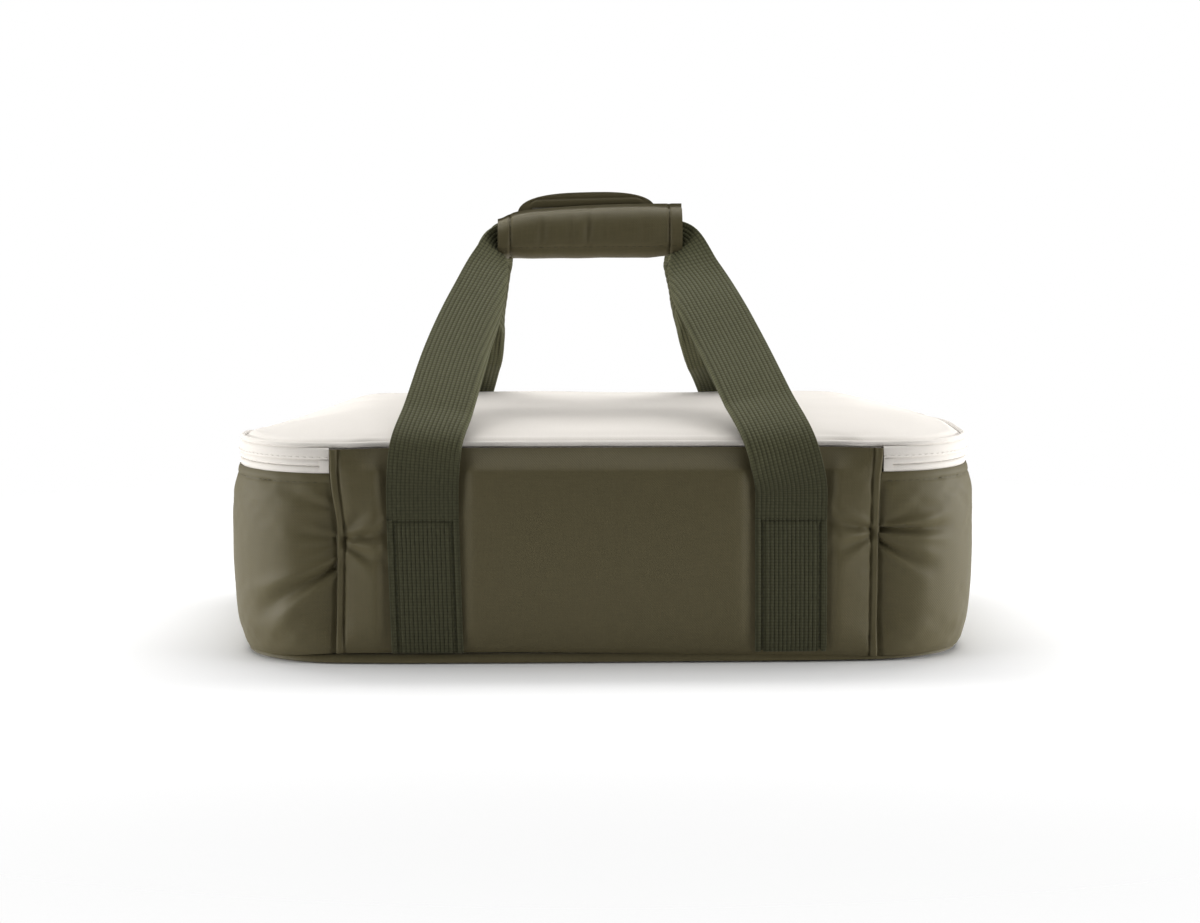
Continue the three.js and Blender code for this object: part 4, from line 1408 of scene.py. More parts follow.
class CARRIER_OT_zip(bpy.types.Operator):
    """Builds the two halves of the zip, its stops, and finishes the sliders and pulls"""

    bl_idname = "carrier.zip"
    bl_label = "Zip"

    def execute(self, context):
        s = zip_walk(2.5 * MM)
        halves = (
            ("lower", "body", LOWER_TAPE_HIGH_Z, LOWER_TAPE_LOW_Z),
            ("upper", "lid", UPPER_TAPE_LOW_Z, UPPER_TAPE_HIGH_Z),
        )
        for half, body, slot, sewn in halves:
            tape = strip(f"{half}_tape", tape_outline(slot, sewn), s)
            finish_piece(tape, body, "cream_canvas", "cream_fabric", f"{half}_zip_tape")
        for half, body, _, _ in halves:
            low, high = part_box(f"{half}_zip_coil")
            teeth = coil(f"{half}_coil", low.z, high.z)
            finish_piece(teeth, body, "zip_nylon", "cream_coil", f"{half}_zip_coil")

        profile = outline(0.1 * MM, -0.7 * MM, WALL_TOP_Z + GAP, BAND_LOW_Z - GAP)
        for side, first in (("right", s[0]), ("left", s[-1] - STOP_LENGTH)):
            stop = strip(f"{side}_stop", profile, spaced((first, 0), (first + STOP_LENGTH, 0.7 * MM)))
            finish_piece(stop, "body", "cream_canvas", "cream_fabric", f"{side}_zip_stop")

        for side in ("left", "right"):
            for part in ("slider", "pull"):
                finish_node(f"{side}_{part}", "nickel_plate", 0.28 * MM, 3)
        return {"FINISHED"}


# Lid

# Rings of the cover from its edge to its middle, as shares of its reach
LID_SHARES = spaced((1.0, 0), (0.955, 0.005), (0.86, 0.019), (0.06, 0.04))

# Creases of the cover: start and end as (x, y), depth and width, in millimetres
LID_CREASES = (
    ((-166, 78), (-104, 40), 0.9, 10.0),
    ((168, 84), (112, 52), 0.8, 10.0),
    ((60, -116), (20, -60), 0.5, 14.0),
)

# Room for the lid's edge to turn past the back panel, the front edge's slight lift, and the foam's shoulder
HINGE_ROOM = 1.5 * MM
HINGE_ROOM_REACH = 22 * MM
FRONT_LIFT = 0.7 * MM
FRONT_LIFT_Y = 80 * MM
FOAM_SHOULDER = 2.2 * MM
PIPING_SIDES = 10

# Sewing line of the side band: its height above the band's lower edge, and how far its thread stands out
BAND_LINE = 1.1 * MM
BAND_THREAD_LIFT = 0.12 * MM

# Hinge tape: its line as (offset, height) in millimetres, its half thickness, and how far in it bends
HINGE_LINE = (
    (-5.7, 107.8), (-5.7, 110.5), (-5.7, 112.6), (-5.7, 113.5),
    (-5.72, 114.0), (-5.8, 114.3), (-6.0, 114.4),
)
HINGE_TAPE_HALF = 0.2 * MM
HINGE_TAPE_DRAW = 0.62


def lid_height(x, y, share):
    """Height of the lid's cover above its edge"""
    crown = settings("carrier_shape").lid_crown * (0.5 * (1 - share**2) + 0.5 * (1 - share**14))
    roll = -0.7 * MM * smooth(0.99, 1.0, share) + 0.4 * MM * bell(share - 0.975, 0.014)
    waves = 0.9 * MM * ripple(x, y, 85 * MM, 21.0) + 0.35 * MM * ripple(x, y, 30 * MM, 23.0)
    height = crown + roll + waves * (1 - smooth(0.9, 1.0, share))
    inside = 1 - smooth(0.93, 1.0, share)
    for start, end, depth, width in LID_CREASES:
        start, end = (np.array(point) * MM for point in (start, end))
        height = height + crease(x, y, start, end, depth * MM, width * MM) * inside
    return height


def sunk_ring(rim, share, z):
    """Ring that sinks with the soft corners"""
    x, y = (rim * share).T
    return ring(rim, share, z - slump(x, y, z))


class CARRIER_OT_lid(bpy.types.Operator):
    """Builds the padded lid with its piping, side band, lining and hinge tape"""

    bl_idname = "carrier.lid"
    bl_label = "Lid"

    def execute(self, context):
        path = footprint()
        s = spaced((0, 0), (path.length, 3 * MM))[:-1]
        room = HINGE_ROOM * smooth(-HINGE_ROOM_REACH, 0, path.back_seam - from_back(s))
        drawn = np.maximum(back_draw(s), room)
        rim = around(s, COVER_EDGE - drawn, np.zeros_like(s))[:, :2]
        foam_rim = around(s, LID_FOAM_EDGE - drawn, np.zeros_like(s))[:, :2]
        self.pad(rim, foam_rim)
        self.piping(s, drawn)
        self.side_band()
        self.foil(foam_rim)
        run = wall_run(zip_walk(1.5 * MM), BAND_THREAD_LIFT, BAND_LOW_Z + BAND_LINE)
        stitching("lid_stitches", [run], "lid", "cream_thread", "cream_fabric")
        self.hinge_tape(path)
        return {"FINISHED"}

    def pad(self, rim, foam_rim):
        """Padded cover, from the middle of its underside round its edge to its crown"""
        low = [sunk_ring(foam_rim, share, LID_FOAM_Z) for share in LID_SHARES[::-1]]
        low.append(sunk_ring(foam_rim, 1.0, PIPING_Z - FOAM_SHOULDER))
        high = []
        for share in LID_SHARES:
            x, y = (rim * share).T
            lift = FRONT_LIFT * smooth(0, FRONT_LIFT_Y, y) * smooth(0.9, 1.0, share)
            z = PIPING_Z + COVER_RISE + lift + lid_height(x, y, share)
            high.append(ring(rim, share, z - slump(x, y, PIPING_Z)))
        top = PIPING_Z + COVER_RISE + settings("carrier_shape").lid_crown
        lid = dome("lid_pad", low + high, (0, 0, LID_FOAM_Z), (0, 0, top))
        finish_piece(lid, "lid", "cream_canvas", "cream_fabric", "lid_cover", "lid_foam")

    def piping(self, s, drawn):
        """Round piping that follows the cover's edge"""
        turns = np.arange(PIPING_SIDES) / PIPING_SIDES * 2 * math.pi
        radius = settings("carrier_shape").piping_radius
        across, up = radius * np.cos(turns), radius * np.sin(turns)
        profile = np.column_stack([across - PIPING_INSET, PIPING_Z + up])
        piping = strip("lid_edge_piping", profile, s, closed=True, drawn=drawn)
        finish_piece(piping, "lid", "cream_canvas", "cream_fabric", "lid_piping")

    def side_band(self):
        """Band between the zip and the piping, with its top tucked in under the piping"""
        z = np.linspace(BAND_LOW_Z, BAND_HIGH_Z, 7)
        up = (z - BAND_LOW_Z) / (BAND_HIGH_Z - BAND_LOW_Z)
        face = np.column_stack([0.35 * MM * np.sin(math.pi * up) - 0.2 * MM, z])
        tuck = np.array([(-0.5, 0.5), (-1.1, 1.1), (-1.4, 0.9)]) * MM + (0, BAND_HIGH_Z)
        inside = [(-FABRIC, (tuck[-1, 1] + BAND_LOW_Z) / 2), (-FABRIC, BAND_LOW_Z)]
        band = strip("lid_side_band", np.vstack([face, tuck, inside]), zip_walk(2.5 * MM))
        finish_piece(band, "lid", "cream_canvas", "cream_fabric", "lid_band")

    def foil(self, foam_rim):
        """Foil lining under the padding"""
        under, over = [], []
        for share in spaced((0.04, 0), (1.0, 0.08)):
            x, y = (foam_rim * share).T
            dent = 0.5 * MM * (1 - share) * ripple(x, y, 40 * MM, 31.0) - slump(x, y, LID_LINER_LOW_Z)
            under.append(ring(foam_rim, share, LID_LINER_LOW_Z + dent))
            over.append(ring(foam_rim, share, LID_LINER_HIGH_Z + dent))
        liner = dome("lid_foil", under + over[::-1], (0, 0, LID_LINER_LOW_Z), (0, 0, LID_LINER_HIGH_Z))
        finish_piece(liner, "lid", "foil_lining", "foil_liner", "lid_liner")

    def hinge_tape(self, path):
        """Tape from the back panel's inside to the lid's underside"""
        middle = np.array(HINGE_LINE) * MM
        across = HINGE_TAPE_HALF * facing_of(middle, (1, 0))
        profile = np.vstack([middle + across, (middle - across)[::-1]])
        half = path.back_seam - GAP
        s = spaced((-half, 0), (half, 4 * MM))
        tape = strip("hinge_tape", profile, s, drawn=HINGE_TAPE_DRAW * back_draw(s))
        finish_piece(tape, None, "cream_canvas", "cream_fabric", "hinge_binding")
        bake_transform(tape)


# Webbing handles

# Stations from each stitch line up into the grip: outer and inner edge of the webbing, in millimetres
LEFT_BACK_LEG = (
    ((-116, -134.2, 77.55), (-78, -134.2, 77.55)),
    ((-116, -134.4, 98), (-78, -134.4, 98)),
    ((-114.4, -133.8, 116), (-76.6, -133.8, 116)),
    ((-107, -112, 137), (-70.4, -112, 137)),
    ((-96, -74, 168), (-61.5, -74, 168)),
    ((-82, -40, 196), (-52.8, -38, 196)),
    ((-71, -20, 214.5), (-53.2, -22, 205)),
    ((-61.5, -10.5, 226.4), (-56, -10.5, 209.2)),
    ((-48, -9, 231.2), (-48, -9, 214.2)),
    ((-24, -9, 231.4), (-24, -9, 214.4)),
)
RIGHT_BACK_LEG = (
    ((116, -134.2, 77.55), (78, -134.2, 77.55)),
    ((115.6, -134.4, 98), (77.6, -134.4, 98)),
    ((111.6, -133.8, 115), (73.4, -133.8, 115)),
    ((98.9, -104, 143), (61.2, -104, 143)),
    ((86.6, -71, 170), (48.6, -71, 170)),
    ((77.2, -49, 188.5), (40.2, -49, 188.5)),
    ((65.6, -26, 207.5), (37.4, -27, 202.5)),
    ((51, -11, 228), (42, -12, 209)),
    ((36, -9, 232.2), (36, -9, 215)),
    ((12, -9, 232.0), (12, -9, 214.8)),
)
LEFT_FRONT_LEG = (
    ((-116, 134.2, 77.55), (-78, 134.2, 77.55)),
    ((-112, 134.4, 98), (-72, 134.4, 98)),
    ((-102.6, 133.8, 117), (-61.2, 133.8, 117)),
    ((-94.8, 105, 142), (-57, 105, 142)),
    ((-88, 69, 172), (-54.6, 69, 172)),
    ((-75, 42, 194), (-52.5, 42, 194)),
    ((-67, 20, 214), (-51, 22, 203.5)),
    ((-59, 10.5, 228), (-51, 10.5, 209)),
    ((-48, 9, 231.2), (-48, 9, 214.2)),
    ((-24, 9, 231.4), (-24, 9, 214.4)),
)
RIGHT_FRONT_LEG = (
    ((116, 134.2, 77.55), (78, 134.2, 77.55)),
    ((113.8, 134.4, 98), (75, 134.4, 98)),
    ((105.6, 133.8, 117), (65, 133.8, 117)),
    ((93.8, 105, 142), (54.8, 105, 142)),
    ((82, 69, 172), (46.2, 69, 172)),
    ((70, 45, 192), (40.6, 45, 192)),
    ((57, 24, 208.6), (38, 25, 203)),
    ((48, 10.5, 229), (39, 12, 208.5)),
    ((36, 9, 232.2), (36, 9, 215)),
    ((12, 9, 232.0), (12, 9, 214.8)),
)
WEBBING_STEP = 1.6 * MM
RIB_POINTS = 6

# Radius of the rolled-back edge where the webbing is free and in the grip's mouth, and where it tightens
FOLD_RADIUS = 6.0 * MM
MOUTH_RADIUS = 1.1 * MM
MOUTH_Z = (190 * MM, 208 * MM)

# Distances from the stitch line over which the webbing gains its thickness and turns from painted shade to
# painted light
THIN_END = (0.2 * MM, 2.8 * MM)
LIT_FADE = (10 * MM, 75 * MM)


def rib_profile():
    """Places across the webbing and the half thickness at each"""
    webbing = settings("carrier_webbing")
    width, edge, thick = webbing.width, webbing.selvage, webbing.thickness / 2
    inner = width - 2 * edge
    count = webbing.ribs * RIB_POINTS
    side = np.array([0, 0.15, 0.35, 0.6, 0.85, 0.97]) * edge
    place = np.concatenate([side, edge + np.arange(count + 1) / count * inner, width - side[::-1]])
    rib = np.abs(np.sin(math.pi * (place - edge) / inner * webbing.ribs)) ** 0.7
    off_centre = (np.minimum(place, width - place) - edge / 2) / (edge / 2)
    bead = np.sqrt(np.clip(1 - off_centre**2, 0, 1))
    plain = (place < edge) | (place > width - edge)
    return place, thick * np.where(plain, 0.45 + 0.6 * bead, 0.72 + 0.3 * rib)


def both_faces(place):
    """Distance round the webbing: across its front, then back across its rear"""
    return np.concatenate([place, 2 * settings("carrier_webbing").width - place[::-1]])


def folded_section(outer, inner, tangent, back, place, thickness):
    """Section of webbing from its outer edge towards its inner one, which is rolled back to fit"""
    width = settings("carrier_webbing").width
    across = inner - outer
    across = across - tangent * across.dot(tangent)
    shown = min(np.linalg.norm(across), width)
    across /= np.linalg.norm(across)
    normal = np.cross(across, tangent)
    normal *= np.sign(normal.dot(back))
    spare = width - shown
    at_mouth = smooth(*MOUTH_Z, (outer[2] + inner[2]) / 2)
    loose = FOLD_RADIUS + (MOUTH_RADIUS - FOLD_RADIUS) * at_mouth
    radius = max(MOUTH_RADIUS, min(loose, 0.9 * spare + 0.4 * MM))
    flat = shown - radius if spare > GAP else width
    bend = np.clip((place - flat) / radius, 0, math.pi)
    past = np.clip(place - flat - math.pi * radius, 0, None)
    past = past * min(1, (flat - GAP) / max(past[-1], GAP))
    x = np.minimum(place, flat) + radius * np.sin(bend) - past
    y = radius * (1 - np.cos(bend))
    nx, ny = np.sin(bend), -np.cos(bend)
    front = outer + np.outer(x + nx * thickness, across) + np.outer(y + ny * thickness, normal)
    rear = outer + np.outer(x - nx * thickness, across) + np.outer(y - ny * thickness, normal)
    return np.vstack([front, rear[::-1]])


def handle(name, left, right, face):
    """One length of webbing from the left stitch line, through the grip, to the right one"""
    stations = np.array(left + right[::-1]) * MM
    outer, inner = stations[:, 0], stations[:, 1]
    places = girth_of((outer + inner) / 2)
    wanted = np.linspace(0, places[-1], round(places[-1] / WEBBING_STEP) + 1)
    outer, inner = (curve_through(edge, places, wanted) for edge in (outer, inner))
    tangents = np.gradient((outer + inner) / 2, wanted, axis=0)
    tangents[0], tangents[-1] = (0, 0, 1), (0, 0, -1)
    tangents /= np.linalg.norm(tangents, axis=1)[:, None]
    place, thickness = rib_profile()
    back = np.array([0, -face, 0.0])
    from_end = np.minimum(wanted, wanted[-1] - wanted)
    full = 0.5 + 0.5 * smooth(*THIN_END, from_end)
    sections = [
        folded_section(o, i, t, back, place, thickness * f)
        for o, i, t, f in zip(outer, inner, tangents, full)
    ]
    # The share rises from painted shade near each stitch line to painted light up the free legs
    return loft(name, sections, wanted, both_faces(place), sharp=80, lit_share=smooth(*LIT_FADE, from_end))


class CARRIER_OT_handles(bpy.types.Operator):
    """Builds the two webbing handles"""

    bl_idname = "carrier.handles"
    bl_label = "Webbing Handles"

    def execute(self, context):
        sides = (
            ("back", LEFT_BACK_LEG, RIGHT_BACK_LEG, -1),
            ("front", LEFT_FRONT_LEG, RIGHT_FRONT_LEG, 1),
        )
        for name, left, right, face in sides:
            piece = handle(f"{name}_webbing", left, right, face)
            finish_piece(piece, None, "olive_webbing", "olive_webbing", f"{name}_handle_webbing")
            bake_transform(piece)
        return {"FINISHED"}


class CARRIER_OT_straps(bpy.types.Operator):
    """Builds the sewn-down ends of the webbing with their box stitching"""

    bl_idname = "carrier.straps"
    bl_label = "Sewn Straps"

    # Sewing lines: their distance from the sides and the top, their width, and how deep they press
    INSET = 4.0 * MM
    TOP_INSET = 0.9 * MM
    LINE_WIDTH = 0.9 * MM
    LINE_DEPTH = 1.0 * MM
    BED = 0.2 * MM
    THREAD_LIFT = 1.05 * MM
    LEAN = 0.8 * MM
    BACK_LEFT_LEAN = 2.2 * MM

    def execute(self, context):
        panels = walls()
        runs = []
        for face, middle, way in (("back", 0.0, 1), ("front", footprint().front, -1)):
            for side, x in (("left", -STRAP_X), ("right", STRAP_X)):
                name, centre = f"{face}_{side}", middle + way * x
                self.strap(name, panels[face], centre)
                runs.append(self.box_stitch(name, panels[face], centre))
        stitching("strap_stitches", runs, "body", "webbing_thread", "olive_webbing")
        return {"FINISHED"}

    def drift(self, name, z):
        """Sideways lean of a strap that was not sewn quite upright"""
        lean = self.BACK_LEFT_LEAN if name == "back_left" else self.LEAN
        return lean * (STITCH_TOP_Z - z) / STITCH_TOP_Z

    def strap(self, name, wall, centre):
        """One strap, pressed into the wall along its sewing lines"""
        place, thickness = rib_profile()
        width = settings("carrier_webbing").width
        z = spaced((STRAP_LOW.z, 0), (STITCH_TOP_Z - 5 * MM, WEBBING_STEP), (STITCH_TOP_Z, 0.4 * MM))
        rows, columns = np.meshgrid(z, centre - width / 2 + place, indexing="ij")
        columns = columns + self.drift(name, rows)
        inset = np.minimum(place, width - place)
        sides = bell(inset - self.INSET, self.LINE_WIDTH)
        top = bell(STITCH_TOP_Z - rows - self.TOP_INSET, self.LINE_WIDTH) * smooth(0, self.INSET, inset)
        ground = wall.face(columns, rows) + self.BED
        outer = ground + 2 * thickness - self.LINE_DEPTH * np.maximum(sides, top)
        sections = around(
            np.hstack([columns, columns[:, ::-1]]),
            np.hstack([outer, ground[:, ::-1]]),
            np.hstack([rows, rows]),
        )
        # The sewn strap keeps its share of painted light at none, so it takes the webbing's painted shade
        # all over
        strap = loft(f"{name}_sewn_strap", sections, z, both_faces(place), sharp=80)
        finish_piece(strap, "body", "olive_webbing", "olive_webbing", f"{name}_strap")

    def box_stitch(self, name, wall, centre):
        """Stitch path up one side of a strap, across its top and down the other"""
        reach = settings("carrier_webbing").width / 2 - self.INSET
        top = STITCH_TOP_Z - self.TOP_INSET
        up = np.arange(STRAP_LOW.z + 3 * MM, top, MM)
        over = np.linspace(-reach, reach, 40)
        z = np.concatenate([up, np.full_like(over, top), up[::-1]])
        across = np.concatenate([np.full_like(up, -reach), over, np.full_like(up, reach)])
        s = centre + across + self.drift(name, z)
        return wall_run(s, wall.face(s, z) + self.THREAD_LIFT, z)


# Grip wrap

GRIP_LEFT, GRIP_RIGHT = -58 * MM, 46 * MM
GRIP_MIDDLE = (GRIP_LEFT + GRIP_RIGHT) / 2
GRIP_REACH = (GRIP_RIGHT - GRIP_LEFT) / 2
GRIP_BOTTOM_Z = 210.2 * MM
GRIP_TOP_LEFT_Z, GRIP_TOP_RIGHT_Z = 233.0 * MM, 238.0 * MM
GRIP_TILT = 0.0244
GRIP_HEM = 6.8 * MM
GRIP_HEM_LINE = GRIP_HEM + 0.3 * MM
PAD_THICKNESS = 3.6 * MM
TAPE_LIFT = 3.4 * MM

# Section of the pad: millimetres from front to back, and height as a share of the grip's
PAD_SECTION = (
    (3.9, 0.0), (-2, 0.0), (-9, 0.02), (-13.6, 0.14), (-15.8, 0.34), (-15.8, 0.58),
    (-13.6, 0.8), (-9.8, 0.935), (-6.8, 0.966), (-4.6, 0.975), (-3.2, 1.0), (-2.7, 1.06),
)
PAD_HEIGHT = 24
PAD_POINTS = 46

# Sewing lines of the pad: the lower one as a share of its section, and the first point of those up its ends
PAD_SEWN = 0.415
PAD_SEWN_FROM = 10

# Folds across the pad: place, depth and width, in millimetres, and how far each one leans
PAD_FOLDS = ((-33, 1.4, 2.6), (-17, 0.9, 2.4), (-7, 1.6, 2.2), (2, 0.8, 2.6), (24, 0.7, 3.0))
FOLD_LEAN = 5 * MM

# Flap: its line as (y, z) from the grip's centre, in millimetres, and the tab that it narrows to
FLAP_LINE = (
    (4.5, -13.9), (9, -13.8), (13.4, -11.6), (15.6, -6), (15.6, 0), (14.4, 5.2),
    (10.8, 9.4), (6.6, 11.2), (4.2, 12.9), (3.5, 15.6), (3.35, 19), (3.2, 22.6),
)
FLAP_CENTRE_Z = 223.5 * MM
FLAP_AXIS_Z = 209.5 * MM
TAB_LEFT, TAB_RIGHT = -47 * MM, 32 * MM
TAB_MIDDLE = (TAB_LEFT + TAB_RIGHT) / 2
TAB_REACH = (TAB_RIGHT - TAB_LEFT) / 2
TAB_NARROWS = (5.5 * MM, 10.5 * MM)
TAB_FOOT = 9 * MM
TAB_FULLNESS = 2.8


def grip_top(x):
    """Height of the wrap's top edge, which is arched and drops at its left end"""
    share = (x - GRIP_LEFT) / (GRIP_RIGHT - GRIP_LEFT)
    arch = 1.6 * MM * np.sin(math.pi * np.clip(share, 0, 1)) - 3.2 * MM * bell(x - GRIP_LEFT, 7 * MM)
    return GRIP_TOP_LEFT_Z + (GRIP_TOP_RIGHT_Z - GRIP_TOP_LEFT_Z) * share + arch


class CARRIER_OT_grip(bpy.types.Operator):
    """Builds the padded grip wrap, its rear flap and the hook-and-loop tapes"""

    bl_idname = "carrier.grip"
    bl_label = "Grip Wrap"

    def execute(self, context):
        self.pad()
        self.flap()
        self.tape("loop", "back_handle")
        self.tape("hook", "grip_flap")
        return {"FINISHED"}

    def tape(self, side, body):
        """One half of the hook-and-loop closure"""
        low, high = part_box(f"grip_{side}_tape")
        profile = outline(high.y, low.y, low.z + 0.9 * MM, high.z - 0.9 * MM, 0.25 * MM)
        profile[:, 1] += TAPE_LIFT
        x = spaced((low.x, 0), (high.x, 4 * MM))
        tilt = GRIP_TILT * (x - (low.x + high.x) / 2)
        sections = np.stack([
            np.column_stack([np.full(len(profile), a), profile[:, 0], profile[:, 1] + b])
            for a, b in zip(x, tilt)
        ])
        tape = loft(f"{side}_tape", sections, x, girth_of(profile))
        finish_piece(tape, body, "hook_pile", "hook_tape", f"grip_{side}_tape")

    def pad(self):
        """Padded front of the wrap, from its floor edge round to the lip"""
        x = spaced(
            (GRIP_LEFT, 0), (GRIP_LEFT + 9 * MM, 0.5 * MM),
            (GRIP_RIGHT - 9 * MM, 1.2 * MM), (GRIP_RIGHT, 0.5 * MM),
        )
        control = np.array(PAD_SECTION)
        places = girth_of(control * (1, PAD_HEIGHT))
        t = np.linspace(0, places[-1], PAD_POINTS)
        share = t / t[-1]
        y, height = (curve_through(control, places, t) * (MM, 1)).T
        facing = facing_of(np.column_stack([y, height * PAD_HEIGHT * MM]), (-1, 0))
        sections = []
        for at in x:
            inset = min(at - GRIP_LEFT, GRIP_RIGHT - at)
            middle = np.column_stack([y, self.pad_z(at, y, height)])
            outer = middle + facing * self.pad_relief(at, inset, t, share)[:, None]
            thin_lip = 1 - 0.6 * smooth(0.86, 1.0, share)
            depth = PAD_THICKNESS * (0.55 + 0.45 * smooth(0, 7 * MM, inset)) * thin_lip
            inner = middle - facing * depth[:, None]
            section = np.vstack([outer, inner[::-1]])
            sections.append(np.column_stack([np.full(len(section), at), section]))
        sections = np.array(sections)
        girth = np.concatenate([t, 2 * t[-1] - t[::-1] + 4]) * MM
        piece = loft("grip_wrap_pad", sections, x, girth)
        finish_piece(piece, "back_handle", "olive_fabric", "olive_fabric", "grip_pad")
        normals = np.column_stack([np.zeros_like(t), facing])
        self.pad_stitching(x, share, sections, normals)

    def pad_z(self, at, y, height):
        """Heights of the pad's section along the grip, with the floor edge on the flap's axis"""
        z = GRIP_BOTTOM_Z + height * (grip_top(at) - GRIP_BOTTOM_Z)
        axis_z = FLAP_AXIS_Z + GRIP_TILT * (at - GRIP_MIDDLE)
        floor_edge = smooth(-9 * MM, 2 * MM, y) * (height < 0.5)
        return z + (axis_z + GAP - GRIP_BOTTOM_Z) * floor_edge

    def pad_relief(self, at, inset, t, share):
        """How far the pad's face stands out: its swell, hems, sewing lines and folds"""
        hem = 1 - smooth(GRIP_HEM - 0.6 * MM, GRIP_HEM, inset)
        swell = 1.3 * MM * smooth(GRIP_HEM, GRIP_HEM + 14 * MM, inset) * np.sin(math.pi * share) ** 0.6
        swell = swell + 0.25 * MM * hem - 0.8 * MM * bell(inset - GRIP_HEM_LINE, 0.8 * MM)
        swell = swell - 0.95 * MM * bell(share - PAD_SEWN, 0.02) + 0.6 * MM * bell(share - 0.985, 0.03)
        folds = 0.55 * MM * ripple(np.full_like(t, at), t * MM, 16 * MM, 41.0) * np.sin(math.pi * share)
        lean = FOLD_LEAN * (share - 0.55)
        for place, depth, width in PAD_FOLDS:
            folds = folds - depth * MM * bell(at - place * MM - lean, width * MM) * bell(share - 0.62, 0.2)
        return swell + folds * (1 - hem)

    def pad_stitching(self, x, share, sections, normals):
        """Stitches along the pad's lower sewing line and up the hems at its ends"""
        j = np.argmin(np.abs(share - PAD_SEWN))
        lines = [(sections[:, j], np.tile(normals[j], (len(x), 1)))]
        for at in (GRIP_LEFT + GRIP_HEM_LINE, GRIP_RIGHT - GRIP_HEM_LINE):
            i = np.argmin(np.abs(x - at))
            lines.append((sections[i, PAD_SEWN_FROM:len(share) - 1], normals[PAD_SEWN_FROM:-1]))
        stitching("grip_stitches", lines, "back_handle", "olive_thread", "olive_fabric")

    def flap(self):
        """Rear flap: full length below the lip, a round-cornered tab above it"""
        control = np.array(FLAP_LINE) * MM
        places = girth_of(control)
        end = places[-1]
        t = spaced((0, 0), (end - 8 * MM, 1.1 * MM), (end - 1.5 * MM, 0.5 * MM), (end, 0.12 * MM))
        line = curve_through(control, places, t)
        across = np.concatenate([[0, 0.004, 0.012], np.linspace(0.03, 0.97, 48), [0.988, 0.996, 1.0]])
        sections = np.array([
            self.flap_section(point, facing, along, across, line[-1, 1])
            for point, facing, along in zip(line, facing_of(line, (1, 0)), t)
        ])
        girth = 2 * GRIP_REACH * np.concatenate([across, 2 - across[::-1]])
        piece = loft("grip_wrap_flap", sections, t, girth)
        finish_piece(piece, "grip_flap", "olive_fabric", "olive_fabric", "grip_flap")

    def flap_section(self, point, facing, along, across, top):
        """Section of the flap from end to end, at one place along its line"""
        y, z = point
        tab = smooth(*TAB_NARROWS, z)
        rise = np.clip((z - TAB_FOOT) / (top - TAB_FOOT), 0, 0.9995)
        arc = (1 - rise**TAB_FULLNESS) ** (1 / TAB_FULLNESS)
        reach = GRIP_REACH + (TAB_REACH * arc - GRIP_REACH) * tab
        x = GRIP_MIDDLE + (TAB_MIDDLE - GRIP_MIDDLE) * tab + (2 * across - 1) * reach
        edge = np.minimum(x - x[0], x[-1] - x)
        hem = np.minimum(edge, max(top - z, 0.0)) if z > TAB_FOOT else edge
        swell = 0.8 * MM * smooth(0, 9 * MM, hem) - 0.6 * MM * bell(hem - 3.6 * MM, 0.7 * MM)
        waves = 0.35 * MM * ripple(x, np.full_like(x, z + y), 18 * MM, 45.0) * smooth(0, 6 * MM, hem)
        swell = (swell + waves) * smooth(0, 12 * MM, along)
        thick = PAD_THICKNESS * (0.5 + 0.5 * smooth(0, 5 * MM, hem)) * (1 - 0.35 * tab)
        thick = thick - 0.9 * MM * tab * bell(hem - 3.2 * MM, 0.7 * MM)
        thick = thick * (1 - 0.6 * bell(z - 9.5 * MM, 3.2 * MM))
        middle_z = FLAP_CENTRE_Z + z + GRIP_TILT * (x - GRIP_MIDDLE)
        outer = np.column_stack([x, y + facing[0] * swell, middle_z + facing[1] * swell])
        inner = np.column_stack([x, y - facing[0] * thick, middle_z - facing[1] * thick])
        return np.vstack([outer, inner[::-1]])


# Stage

CAMERA_PLACE = (-45 * MM, -1599.4 * MM, 281.5 * MM)
CAMERA_LENS = 84.33
CAMERA_SENSOR = 36.0
CAMERA_PITCH = math.radians(6.74)
CAMERA_YAW = 0.0281

FLOOR_REACH = 2.6
FLOOR_SIDES = 64
FLOOR_FADE = (0.32, 0.75)
FLOOR_TONES = (0.88, 0.9)

# Lights: the setting and the share of it that gives the power, place, width and height, and aim, in metres
LIGHTS = {
    "back_light": ("back_light", 1.0, (0.0, 0.75, 1.5), (2.4, 0.6), (0.0, 0.75, 0.0)),
    "left_light": ("side_light", 0.86, (-1.2, -0.11, 0.17), (1.4, 0.3), (0.0, 0.0, 0.08)),
    "right_light": ("side_light", 1.0, (1.2, -0.11, 0.17), (1.4, 0.3), (0.0, 0.0, 0.08)),
    "top_light": ("top_light", 1.0, (0.0, 0.04, 1.7), (2.0, 1.5), (0.0, 0.0, 0.08)),
}


def aim(piece, direction):
    """Turns a light or a camera to look in a direction"""
    piece.rotation_euler = direction.to_track_quat("-Z", "Y").to_euler()


